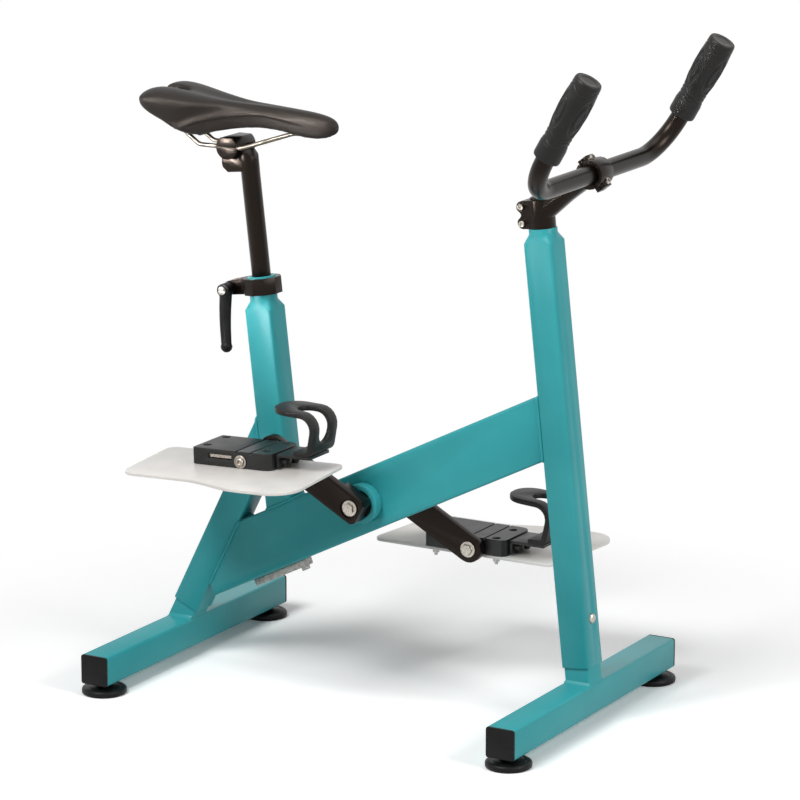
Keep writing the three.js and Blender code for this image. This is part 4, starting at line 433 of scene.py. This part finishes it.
# %% A turned form
def turned(name, section, sides=64):
    """A closed round form about +Z through (radius, height) pairs in millimetres."""
    bpy.ops.object.select_all(action="DESELECT")
    radius, height = section[0]
    bpy.ops.mesh.primitive_circle_add(
        vertices=sides, radius=radius * MM, fill_type="NGON", location=(0, 0, height * MM))
    piece = bpy.context.object
    piece.name = name
    bpy.ops.object.transform_apply(location=True)
    bpy.ops.object.mode_set(mode="EDIT")
    bpy.ops.mesh.select_all(action="SELECT")
    for wide, high in section[1:]:
        bpy.ops.mesh.extrude_region_move(
            TRANSFORM_OT_translate={"value": (0, 0, (high - height) * MM)})
        bpy.ops.transform.resize(
            value=(wide / radius, wide / radius, 1), center_override=(0, 0, 0))
        radius, height = wide, high
    bpy.ops.mesh.select_all(action="SELECT")
    bpy.ops.mesh.normals_make_consistent(inside=False)
    bpy.ops.object.mode_set(mode="OBJECT")
    return piece


# %% [markdown]
# ### Holes of the pedals
# Four screws hold the paddle under each pedal, and their heads sit deep in wide holes. A turned plug as
# wide as a head's hole is cut out of the rounded body four times with a Boolean modifier, as a
# counterbore would cut it. The pedal is tilted a little, so its own top face gives the way up, and its
# axle the middle.

# %% Counterbores
COUNTERBORE = [(6.9, 11.2), (6.9, 16.3), (8.0, 17.9)]
HOLE_PLACES = [(along, across) for along in (-77, 37) for across in (-35, 23)]
COUNTERBORE_SIDES, HOLE_SMOOTH_ANGLE, NEARLY_LEVEL = 32, 25, 0.9


def joint_place(name):
    """The place that a joint turns about."""
    return Vector(next(joint["pos_m"] for joint in frame["joints"] if joint["name"] == name))


def leaned(place, up):
    """Brings what is drawn about the origin to a place, with +Z along up and +Y still to the left."""
    ahead = Vector((0, 1, 0)).cross(up)
    return Matrix((
        (ahead.x, 0, up.x, place.x),
        (0, 1, 0, place.y),
        (ahead.z, 0, up.z, place.z),
        (0, 0, 0, 1)))


def pedal_frame(side):
    """A pedal's own frame, from its axle and its top face."""
    faces = [
        face for face in dressed_pieces[side + "_pedal_body"].data.polygons
        if face.normal.z > NEARLY_LEVEL]
    up = max(faces, key=lambda face: face.area).normal.copy()
    return leaned(joint_place(side + "_pedal_spin"), up)


for side, hand in SIDES:
    body = dressed_pieces[side + "_pedal_body"]
    before = len(body.data.polygons)
    for along, across in HOLE_PLACES:
        cutter = turned("counterbore_plug", COUNTERBORE, COUNTERBORE_SIDES)
        cutter.data.transform(
            pedal_frame(side) @ Matrix.Translation((along * MM, hand * across * MM, 0)))
        apply_modifier(body, "BOOLEAN", operation="DIFFERENCE", solver="EXACT", object=cutter)
        bpy.data.objects.remove(cutter)
    finish(body, rubbed_nylon, HOLE_SMOOTH_ANGLE)
    print(side, "pedal faces", before, "->", len(body.data.polygons))

# %% [markdown]
# ### Screw feet
# Each foot is a moulded disc on a threaded stud, turned by hand to level the bike. The disc has a rounded
# rim, a shallow step on top and a collar round the nut. One is turned and copied to the four places.

# %% Screw feet
FOOT_SECTION = [
    (30, 0), (35.5, 0.4), (37, 1.6), (37.5, 3.4), (37.5, 7), (36.6, 9.2), (34.8, 10.6), (32, 11.4),
    (29, 11.7), (28.2, 11.2), (26.5, 11.2), (25.8, 11.7), (19, 12), (15, 12.6), (13, 14),
    (13, 19.4), (12.4, 19.7), (6, 19.7), (6, 43.4), (5.4, 44)]
first_foot = turned("foot_pattern", FOOT_SECTION)
for node in ("front_left_foot", "front_right_foot", "rear_left_foot", "rear_right_foot"):
    low, high, middle = box_of(node)
    foot = copied(first_foot.data, node + "_turned")
    foot.data.transform(Matrix.Translation((middle.x, middle.y, low.z)))
    stands_for(foot, node, moulded_nylon)
bpy.data.objects.remove(first_foot)
print("foot disc", round((high.x - low.x) / MM, 1), "mm wide in the solids")

# %% [markdown]
# ## Weld beads
# The tubes are cut to fit and welded all round, and the paint covers the welds. A bead is a row of small
# ripples, one for each dip of the wire. Its path is the outer edge of a tube's cut end, which is found on
# the solid by the way that the end looks. The edge is walked in the mesh's own order, so a bead starts at
# the same place in each run.
#
# A round curve follows the path, thinner at every second point. Extruding a ring round so many small
# turns by hand would give the same tube with far more steps.

# %% The outer edge of a cut end
END_MERGE = 0.01 * MM  # corners closer than this are one
SAME_WAY = 0.9995  # cosine between a face and the way asked for


def walked(points):
    """The lengths of the steps along a line of points."""
    return [(a - b).length for a, b in zip(points, points[1:])]


def outer_edge(node, way):
    """Points along the outer edge of the end face that looks a given way, in order."""
    mesh = bmesh.new()
    mesh.from_mesh(frame["nodes"][node].data)
    bmesh.ops.remove_doubles(mesh, verts=mesh.verts, dist=END_MERGE)
    mesh.normal_update()
    end = [face for face in mesh.faces if face.normal.dot(Vector(way).normalized()) > SAME_WAY]
    rim = [
        edge for face in end for edge in face.edges
        if sum(other in end for other in edge.link_faces) == 1]
    loops = []
    while rim:
        edge = rim.pop(0)
        start, corner = edge.verts
        points = [start.co.copy(), corner.co.copy()]
        while corner != start:
            edge = next(other for other in corner.link_edges if other in rim)
            rim.remove(edge)
            corner = edge.other_vert(corner)
            points.append(corner.co.copy())
        loops.append(points)
    mesh.free()
    return max(loops, key=lambda points: sum(walked(points)))


# %% Beads
BEAD_RADIUS, RIPPLE_PITCH, DIP_SHARE, BEAD_SMOOTH_ANGLE = 2.4, 4.0, 0.84, 80
BEADS = (
    ("weld_beam_rear", "main_beam", (-0.8942, 0, 0.4478)),
    ("weld_beam_front", "main_beam", (0.99396, 0, 0.10973)),
    ("weld_seat_tube_foot", "seat_tube", (0.44932, 0, -0.89337)),
    ("weld_leg_top", "rear_leg", (0.99357, 0, 0.1132)))


def bead(name, points):
    """Lays a rippled bead along a closed line of points and gives its length in millimetres."""
    lengths = walked(points)
    count = 2 * round(sum(lengths) / (RIPPLE_PITCH * MM))
    curve = bpy.data.curves.new(name, "CURVE")
    curve.dimensions, curve.bevel_depth, curve.bevel_resolution = "3D", BEAD_RADIUS * MM, 2
    line = curve.splines.new("POLY")
    line.points.add(count - 1)
    line.use_cyclic_u = True
    index, passed = 0, 0.0
    for k in range(count):
        goal = sum(lengths) * k / count
        while passed + lengths[index] < goal:
            passed += lengths[index]
            index += 1
        place = points[index].lerp(points[index + 1], (goal - passed) / lengths[index])
        line.points[k].co = (*place, 1)
        line.points[k].radius = 1.0 if k % 2 else DIP_SHARE
    piece = bpy.data.objects.new(name, curve)
    bpy.context.scene.collection.objects.link(piece)
    only(piece)
    bpy.ops.object.convert(target="MESH")
    piece = bpy.context.object
    finish(piece, powder_coat, BEAD_SMOOTH_ANGLE)
    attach(piece, "frame")
    return sum(lengths) / MM


for name, node, way in BEADS:
    print(name, round(bead(name, outer_edge(node, way))), "mm long")

# %% [markdown]
# ## Pedal end screws
# The screw in the end of each pedal axle sits on a broad washer. Its head is domed, with a round recess
# for the key. Both are turned from one bar here: the washer's rim, the step up to the head, the dome and
# the recess.

# %% Pedal end screws
SCREW_SECTION = [
    (3, -13.3), (3, 0.3), (10.5, 0.3), (11, 0.7), (11, 1.5), (10.5, 2.0), (8.8, 2.1), (8.5, 1.8),
    (8.4, 0.6), (7.2, 0.6), (7.1, 3.0), (6.8, 4.0), (6.0, 4.9), (4.7, 5.4), (4.1, 5.4), (3.8, 5.1),
    (3.6, 1.4), (1.5, 1.2)]
SCREW_RISE, SCREW_SIDES, SCREW_SMOOTH_ANGLE = 5.5, 48, 30
screw = turned("screw_pattern", SCREW_SECTION, SCREW_SIDES)
for side, hand in SIDES:
    low, high, middle = box_of(side + "_pedal_end_screw")
    seat = high.y - SCREW_RISE * MM if hand > 0 else low.y + SCREW_RISE * MM
    end_screw = copied(screw.data, side + "_pedal_end_screw_turned")
    end_screw.data.transform(
        Matrix.Translation((middle.x, seat, middle.z))
        @ Matrix.Rotation(-hand * math.pi / 2, 4, "X"))
    stands_for(end_screw, side + "_pedal_end_screw", turned_steel, SCREW_SMOOTH_ANGLE)
bpy.data.objects.remove(screw)
print("pedal end screws seated at y =", round(seat / MM, 1), "mm")

# %% [markdown]
# ## Handlebar
# The bar is one steel tube, bent twice to bring both ends up. It is made as a bender makes it: a ring is
# extruded along the straight, spun round the bend's middle for a quarter turn, extruded across, spun
# again and extruded up. It is drawn in its own frame, with +Y to the rider's left and +Z up the grips,
# and then leaned back.

# %% The bar's own frame
BAR_RADIUS, BEND_RADIUS, HALF_SPAN = 15, 72, 232
GRIP_FOOT, GRIP_TOP, GRIP_END_WALL, GRIP_GAP = 73, 215, 6, 0.3
BAR_UP = Vector((0.49849, 0, 0.8669))
bar_middle = joint_place("handlebar_tilt")
BAR_FRAME = leaned(bar_middle, BAR_UP)
print("bar turns about", tuple(round(value, 3) for value in bar_middle))

# %% Handlebar
BAR_SIDES, BEND_STEPS = 48, 18
BAR_MERGE = 0.01 * MM


def pull(y, z):
    """Extrudes the selected ring by so many millimetres across and up."""
    bpy.ops.mesh.extrude_region_move(TRANSFORM_OT_translate={"value": (0, y * MM, z * MM)})


def quarter_turn(y):
    """Spins the selected ring a quarter turn about the middle of the bend at y."""
    bpy.ops.mesh.spin(
        steps=BEND_STEPS, angle=math.pi / 2, center=(0, y * MM, BEND_RADIUS * MM), axis=(-1, 0, 0))


def handlebar():
    """The bent tube, from its right end to its left."""
    straight = HALF_SPAN - BEND_RADIUS
    end = GRIP_TOP - GRIP_END_WALL - GRIP_GAP
    bpy.ops.object.select_all(action="DESELECT")
    bpy.ops.mesh.primitive_circle_add(
        vertices=BAR_SIDES, radius=BAR_RADIUS * MM, fill_type="NOTHING",
        location=(0, -HALF_SPAN * MM, end * MM))
    tube = bpy.context.object
    tube.name = "handlebar_bent_tube"
    bpy.ops.object.transform_apply(location=True)
    bpy.ops.object.mode_set(mode="EDIT")
    bpy.ops.mesh.select_all(action="SELECT")
    pull(0, BEND_RADIUS - end)
    quarter_turn(-straight)
    pull(2 * straight, 0)
    quarter_turn(straight)
    pull(0, end - BEND_RADIUS)
    bpy.ops.mesh.select_all(action="SELECT")
    bpy.ops.mesh.remove_doubles(threshold=BAR_MERGE)
    bpy.ops.mesh.fill_holes(sides=0)
    bpy.ops.mesh.select_all(action="SELECT")
    bpy.ops.mesh.normals_make_consistent(inside=False)
    bpy.ops.object.mode_set(mode="OBJECT")
    return tube


bar = handlebar()
print("bar before leaning, mm:", [round(span / MM, 1) for span in bar.dimensions])
bar.data.transform(BAR_FRAME)
stands_for(bar, "handlebar", satin_black)

# %% [markdown]
# ## Grips
# A grip is a rubber sleeve with a swell for the palm, a plain cuff at its foot and a flat end. Its sides
# carry long oval hollows with a leaf-shaped ridge inside, a curved groove under the top and curved
# grooves over the cuff. The sleeve is turned with many fine rings, and then its skin is pushed in where
# the mould had its pattern, which keeps the pattern's edges soft as rubber's are.

# %% Sleeve
GRIP_SWELL = [
    (0, 21.3), (0.02, 22), (0.17, 22), (0.19, 21.4), (0.24, 20.6), (0.34, 21.0), (0.5, 23.4),
    (0.64, 24.4), (0.76, 24.1), (0.88, 22.9), (0.96, 22.3), (0.985, 21.9), (1, 20.9)]
GRIP_LENGTH = GRIP_TOP - GRIP_FOOT
GRIP_BORE = BAR_RADIUS + GRIP_GAP
SLEEVE_RINGS, SLEEVE_SIDES = 110, 112


def grip_radius(share):
    """The sleeve's radius at a share of its length, eased between the listed places."""
    for (start, low_radius), (stop, high_radius) in zip(GRIP_SWELL, GRIP_SWELL[1:]):
        if share <= stop:
            t = (share - start) / (stop - start)
            return low_radius + (high_radius - low_radius) * t * t * (3 - 2 * t)
    return GRIP_SWELL[-1][1]


inside = [(GRIP_BORE, GRIP_TOP - GRIP_END_WALL), (GRIP_BORE, GRIP_FOOT)]
skin = [
    (grip_radius(k / SLEEVE_RINGS), GRIP_FOOT + GRIP_LENGTH * k / SLEEVE_RINGS)
    for k in range(SLEEVE_RINGS + 1)]
end_face = [(20.2, GRIP_TOP), (19.6, GRIP_TOP - 0.7), (4, GRIP_TOP - 0.7)]
sleeve = turned("grip_pattern", inside + skin + end_face, SLEEVE_SIDES)
print("sleeve faces:", len(sleeve.data.polygons))

# %% [markdown]
# The hollows are measured on the unrolled skin: an angle round the sleeve and a share of its length. A
# dip is deepest in its middle and eases out near its rim, so no edge is cut hard.

# %% Hollows and grooves
OVAL_ANGLES = (-20, -124, 108)  # degrees round the sleeve
OVAL_HALF_ANGLE, OVAL_PLACE, OVAL_HALF_LENGTH, OVAL_BOW = 33, 0.6, 0.245, 0.25
OVAL_DEPTH, RIDGE_HEIGHT, RIDGE_PLACE = 2.0, 1.6, 0.52
OVAL_RIM, RIDGE_FLANK, GROOVE_FLANK = (0.88, 1.0), (0.05, 0.17), (0.002, 0.012)
GROOVES = ((0.905, 0.03, 1.2), (0.335, 0.022, 1.0), (0.285, 0.026, 1.0), (0.235, 0.02, 0.9))
WAVES_ROUND, WAVE_TURN = 3, 72
PATTERN_FROM, PATTERN_TO = 0.19, 0.96
GRIP_SMOOTH_ANGLE = 60


def eased(value, full, none):
    """1 at full, 0 at none, and smooth between."""
    t = min(1, max(0, (value - none) / (full - none)))
    return t * t * (3 - 2 * t)


def skin_dip(angle, share):
    """How deep the mould's pattern is at a place on the sleeve, in millimetres."""
    dip = 0.0
    for middle in OVAL_ANGLES:
        across = ((angle - middle + 180) % 360 - 180) / OVAL_HALF_ANGLE
        along = (share - OVAL_PLACE) / OVAL_HALF_LENGTH
        oval = math.hypot(across, along + OVAL_BOW * across * across)
        ridge = RIDGE_HEIGHT * eased(abs(oval - RIDGE_PLACE), *RIDGE_FLANK)
        dip = max(dip, OVAL_DEPTH * eased(oval, *OVAL_RIM) - ridge)
    wave = math.cos(math.radians(WAVES_ROUND * (angle + WAVE_TURN)))
    for place, swing, depth in GROOVES:
        dip = max(dip, depth * eased(abs(share - (place - swing * wave)), *GROOVE_FLANK))
    return dip


for vertex in sleeve.data.vertices:
    x, y, z = vertex.co / MM
    share, radius = (z - GRIP_FOOT) / GRIP_LENGTH, math.hypot(x, y)
    if PATTERN_FROM < share < PATTERN_TO and radius > GRIP_BORE + 1:
        scale = 1 - skin_dip(math.degrees(math.atan2(y, x)), share) / radius
        vertex.co.x, vertex.co.y = vertex.co.x * scale, vertex.co.y * scale
for side, hand in SIDES:
    grip = copied(sleeve.data, side + "_grip_sleeve")
    grip.data.transform(BAR_FRAME @ Matrix.Translation((0, hand * HALF_SPAN * MM, 0)))
    stands_for(grip, side + "_grip", soft_rubber, GRIP_SMOOTH_ANGLE)
bpy.data.objects.remove(sleeve)
print("grips are", GRIP_LENGTH, "mm long")

# %% [markdown]
# A hard plug closes each grip's end. It is a thin turned disc with a slightly domed face, glossier than
# rubber.

# %% End plugs
PLUG_TOP, PLUG_SIDES = GRIP_TOP - 0.1, 72
plug = turned("plug_pattern", [
    (18.8, PLUG_TOP - 0.55), (19.2, PLUG_TOP - 0.4), (19.2, PLUG_TOP - 0.2), (18.7, PLUG_TOP),
    (14, PLUG_TOP - 0.05), (13.4, PLUG_TOP - 0.3), (8, PLUG_TOP - 0.35), (3, PLUG_TOP - 0.4)],
    PLUG_SIDES)
for side, hand in SIDES:
    end_plug = copied(plug.data, side + "_grip_plug")
    end_plug.data.transform(BAR_FRAME @ Matrix.Translation((0, hand * HALF_SPAN * MM, 0)))
    finish(end_plug, satin_black)
    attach(end_plug, BODY_OF[side + "_grip"])
bpy.data.objects.remove(plug)
print("plugs end", round(GRIP_TOP - PLUG_TOP, 2), "mm below the grips' rims")

# %% [markdown]
# ## Saddle
# The saddle is a plastic shell with shaped foam on top, under one cover drawn tight. The solid gives its
# true outline and its middle channel. A copy of it is remeshed into even small faces and smoothed, as
# foam rounds every edge, and then the cover's crease along each side is pressed in. A cloth simulation
# would only swell it, while this cover is glued down and taut.

# %% Saddle pad
VOXEL, SMOOTH_ROUNDS, SADDLE_SMOOTH_ANGLE = 1.3, 60, 80
FACE_ANGLE, SHAPE_ANGLE = math.radians(40), math.radians(60)


def subdivided(piece):
    """Joins a copied solid's loose triangles into four-sided faces and subdivides them twice."""
    only(piece)
    bpy.ops.object.mode_set(mode="EDIT")
    bpy.ops.mesh.select_all(action="SELECT")
    bpy.ops.mesh.remove_doubles(threshold=MERGE)
    bpy.ops.mesh.tris_convert_to_quads(face_threshold=FACE_ANGLE, shape_threshold=SHAPE_ANGLE)
    bpy.ops.object.mode_set(mode="OBJECT")
    apply_modifier(piece, "SUBSURF", levels=2, render_levels=2)


pad = copied(frame["nodes"]["saddle_pad"].data, "saddle_pad_cover")
subdivided(pad)
apply_modifier(pad, "REMESH", mode="VOXEL", voxel_size=VOXEL * MM)
apply_modifier(pad, "SMOOTH", factor=0.5, iterations=SMOOTH_ROUNDS)
print("pad vertices:", len(pad.data.vertices))

# %% [markdown]
# The crease runs along the side from the rear corner, rises to the middle and fades towards the nose.
# Below it the cover lies about 2 mm deeper. Above it the cover is pulled into a long shallow hollow, so
# that the side flares out again below and catches a soft light along its lower half.

# %% Crease of the cover
CREASE = [
    (-398, 915), (-371, 927), (-325, 938.6), (-278.6, 945.3), (-249, 945.4), (-216, 940.9),
    (-164, 933)]
# Each pair says where a dip is full and where it has faded out, in millimetres.
CREASE_DEPTH, CREASE_REAR, CREASE_FRONT, CREASE_SIDE = 2.2, (-370, -398), (-230, -170), (16, 8)
CREASE_STEP = (2.2, -1.4)
HOLLOW_DEPTH, HOLLOW_REAR, HOLLOW_FRONT, HOLLOW_SIDE = 3.2, (-425, -455), (-235, -175), (20, 10)
HOLLOW_FOOT, HOLLOW_TOP = (14, 0), (14, 33)


def crease_height(x):
    """Height of the crease at a place along the saddle, in millimetres."""
    for (x0, z0), (x1, z1) in zip(CREASE, CREASE[1:]):
        if x <= x1:
            return z0 + (z1 - z0) * max(0, (x - x0) / (x1 - x0))
    return CREASE[-1][1]


for vertex in pad.data.vertices:
    x, y, z = vertex.co / MM
    fade = eased(x, *CREASE_REAR) * eased(x, *CREASE_FRONT) * eased(abs(y), *CREASE_SIDE)
    sunk = CREASE_DEPTH * fade * eased(crease_height(x) - z, *CREASE_STEP)
    above = z - crease_height(x)
    hollow = HOLLOW_DEPTH * eased(x, *HOLLOW_REAR) * eased(x, *HOLLOW_FRONT)
    hollow *= eased(abs(y), *HOLLOW_SIDE)
    hollow *= eased(above, *HOLLOW_FOOT) * eased(above, *HOLLOW_TOP)
    vertex.co.y -= math.copysign((sunk + hollow) * MM, y)
stands_for(pad, "saddle_pad", saddle_cover, SADDLE_SMOOTH_ANGLE)
print("pad width", round(pad.dimensions.y / MM, 1), "mm")

# %% [markdown]
# ### Shell
# The cover is folded round the shell's rim and hides it from above. So the shell's faces are drawn in
# along their own normals, and the whole shell is made a little shorter and narrower. Only its underside
# shows.

# %% Shell inside the cover
SHELL_INSET, SHELL_SHARES = 1.0, (0.965, 0.93, 1)
shell = dressed_pieces["saddle_shell"]
only(shell)
bpy.ops.object.mode_set(mode="EDIT")
bpy.ops.mesh.select_all(action="SELECT")
bpy.ops.transform.shrink_fatten(value=-SHELL_INSET * MM)
bpy.ops.transform.resize(value=SHELL_SHARES, center_override=box_of("saddle_shell")[2])
bpy.ops.object.mode_set(mode="OBJECT")
print("shell width", round(shell.dimensions.y / MM, 1), "mm")

# %% [markdown]
# ### Rails
# The rails are one wire, bent to the shell's nose and back. The solid has few sides, so a copy gets a
# Subdivision Surface, which turns each ten-sided ring into a true round one.

# %% Rails
rails = copied(frame["nodes"]["saddle_rails"].data, "saddle_rails_wire")
subdivided(rails)
stands_for(rails, "saddle_rails", drawn_wire, SADDLE_SMOOTH_ANGLE)
print("rail faces:", len(rails.data.polygons))

# %% [markdown]
# ## Studio
# The photograph has a white ground that fades into a white wall, with soft grey shadows under the bike.
# Large area lamps give the soft light: a key lamp high on the rider's right, a fill lamp ahead and a weak
# one above. The black saddle would lose its form in that light. A small lamp low on the right, with a
# grid that keeps its beam narrow, draws a soft line along its side and touches little else.


# %% Lamps
def area_lamp(name, place, aim, size, watts):
    """A square lamp that points at a place."""
    direction = (Vector(aim) - Vector(place)).to_track_quat("-Z", "Y").to_euler()
    bpy.ops.object.light_add(type="AREA", location=place, rotation=direction)
    lamp = bpy.context.object
    lamp.name = name
    lamp.data.size, lamp.data.energy = size, watts
    return lamp


area_lamp("key_lamp", (-0.7, -2.5, 3.1), (0, 0, 0.5), 1.4, 98)
area_lamp("fill_lamp", (3.5, -0.4, 2.1), (0, 0, 0.5), 1.6, 70)
saddle_lamp = area_lamp("saddle_lamp", (-1.9, -2.75, 1.2), (-0.3, 0, 0.98), 0.7, 2.6)
saddle_lamp.data.spread = math.radians(10)
area_lamp("top_lamp", (0.2, 0.2, 3.4), (0, 0, 0.3), 1.6, 16)

# %% [markdown]
# The world gives an even light from all sides. Camera, mirror and see-through rays get plain white from
# it.

# %% World
WORLD_LIGHT = 0.13
world = bpy.data.worlds.new("white_studio")
bpy.context.scene.world = world
world.use_nodes = True
tree = world.node_tree
tree.nodes.clear()
path = add_node(tree, "ShaderNodeLightPath")
seen = add_node(
    tree, "ShaderNodeMath", {0: path.outputs["Is Camera Ray"], 1: path.outputs["Is Glossy Ray"]},
    operation="MAXIMUM")
seen = add_node(
    tree, "ShaderNodeMath", {0: seen.outputs[0], 1: path.outputs["Is Transmission Ray"]},
    operation="MAXIMUM")
soft_light = add_node(
    tree, "ShaderNodeBackground", {"Color": linear("ffffff"), "Strength": WORLD_LIGHT})
white = add_node(tree, "ShaderNodeBackground", {"Color": linear("ffffff"), "Strength": 1.0})
mix = add_node(tree, "ShaderNodeMixShader", {
    0: seen.outputs[0], 1: soft_light.outputs[0], 2: white.outputs[0]})
add_node(tree, "ShaderNodeOutputWorld", {"Surface": mix.outputs[0]})
print("world light", WORLD_LIGHT)

# %% [markdown]
# ### Floor
# The floor is a pale painted surface that takes shadows. Its paint alone would look grey, and a stronger
# lamp would spoil the bike's colours. So only what the camera and mirrors see of it is lifted: the lit
# paint is made brighter with a faint glow, and from half a metre out it fades into plain white, as the
# paper roll of a studio does.

# %% Floor
CAMERA_GAIN, FLOOR_GLOW = 1.22, 0.02
FADE_FROM, FADE_TO = 0.55, 1.1  # metres from the middle of the bike
bpy.ops.mesh.primitive_plane_add(size=30, location=(0, 0, 0))
floor = bpy.context.object
floor.name = "studio_floor"
floor_paint = bpy.data.materials.new("pale_floor_paint")
floor_paint.use_nodes = True
tree = floor_paint.node_tree
tree.nodes.clear()
path = add_node(tree, "ShaderNodeLightPath")
lift = add_node(
    tree, "ShaderNodeMath", {0: path.outputs["Is Camera Ray"], 1: path.outputs["Is Glossy Ray"]},
    operation="MAXIMUM")
paint = add_node(tree, "ShaderNodeBsdfDiffuse", {"Color": linear("d8d8d8")})
bright = add_node(tree, "ShaderNodeBsdfDiffuse", {
    "Color": (CAMERA_GAIN, CAMERA_GAIN, CAMERA_GAIN, 1.0)})
glow = add_node(
    tree, "ShaderNodeEmission", {"Color": linear("ffffff"), "Strength": FLOOR_GLOW})
near = add_node(tree, "ShaderNodeAddShader", {0: bright.outputs[0], 1: glow.outputs[0]})
wall = add_node(tree, "ShaderNodeEmission", {"Color": linear("ffffff"), "Strength": 1.0})
spot = add_node(tree, "ShaderNodeTexCoord").outputs["Object"]
reach = add_node(tree, "ShaderNodeVectorMath", {0: spot}, operation="LENGTH")
fade = add_node(
    tree, "ShaderNodeMapRange",
    {"Value": reach.outputs["Value"], "From Min": FADE_FROM, "From Max": FADE_TO},
    interpolation_type="SMOOTHSTEP")
seen_floor = add_node(tree, "ShaderNodeMixShader", {
    0: fade.outputs["Result"], 1: near.outputs[0], 2: wall.outputs[0]})
both = add_node(tree, "ShaderNodeMixShader", {
    0: lift.outputs[0], 1: paint.outputs[0], 2: seen_floor.outputs[0]})
add_node(tree, "ShaderNodeOutputMaterial", {"Surface": both.outputs[0]})
floor.data.materials.append(floor_paint)
print("floor fades to white from", FADE_FROM, "to", FADE_TO, "m")

# %% [markdown]
# ## Last setting
# The view transform is set to Standard, so colours show as they are written. The dressed bike
# must stay inside the solids' box, because Blender doesn't change the real size.

# %% Finish
bpy.context.scene.view_settings.view_transform = "Standard"
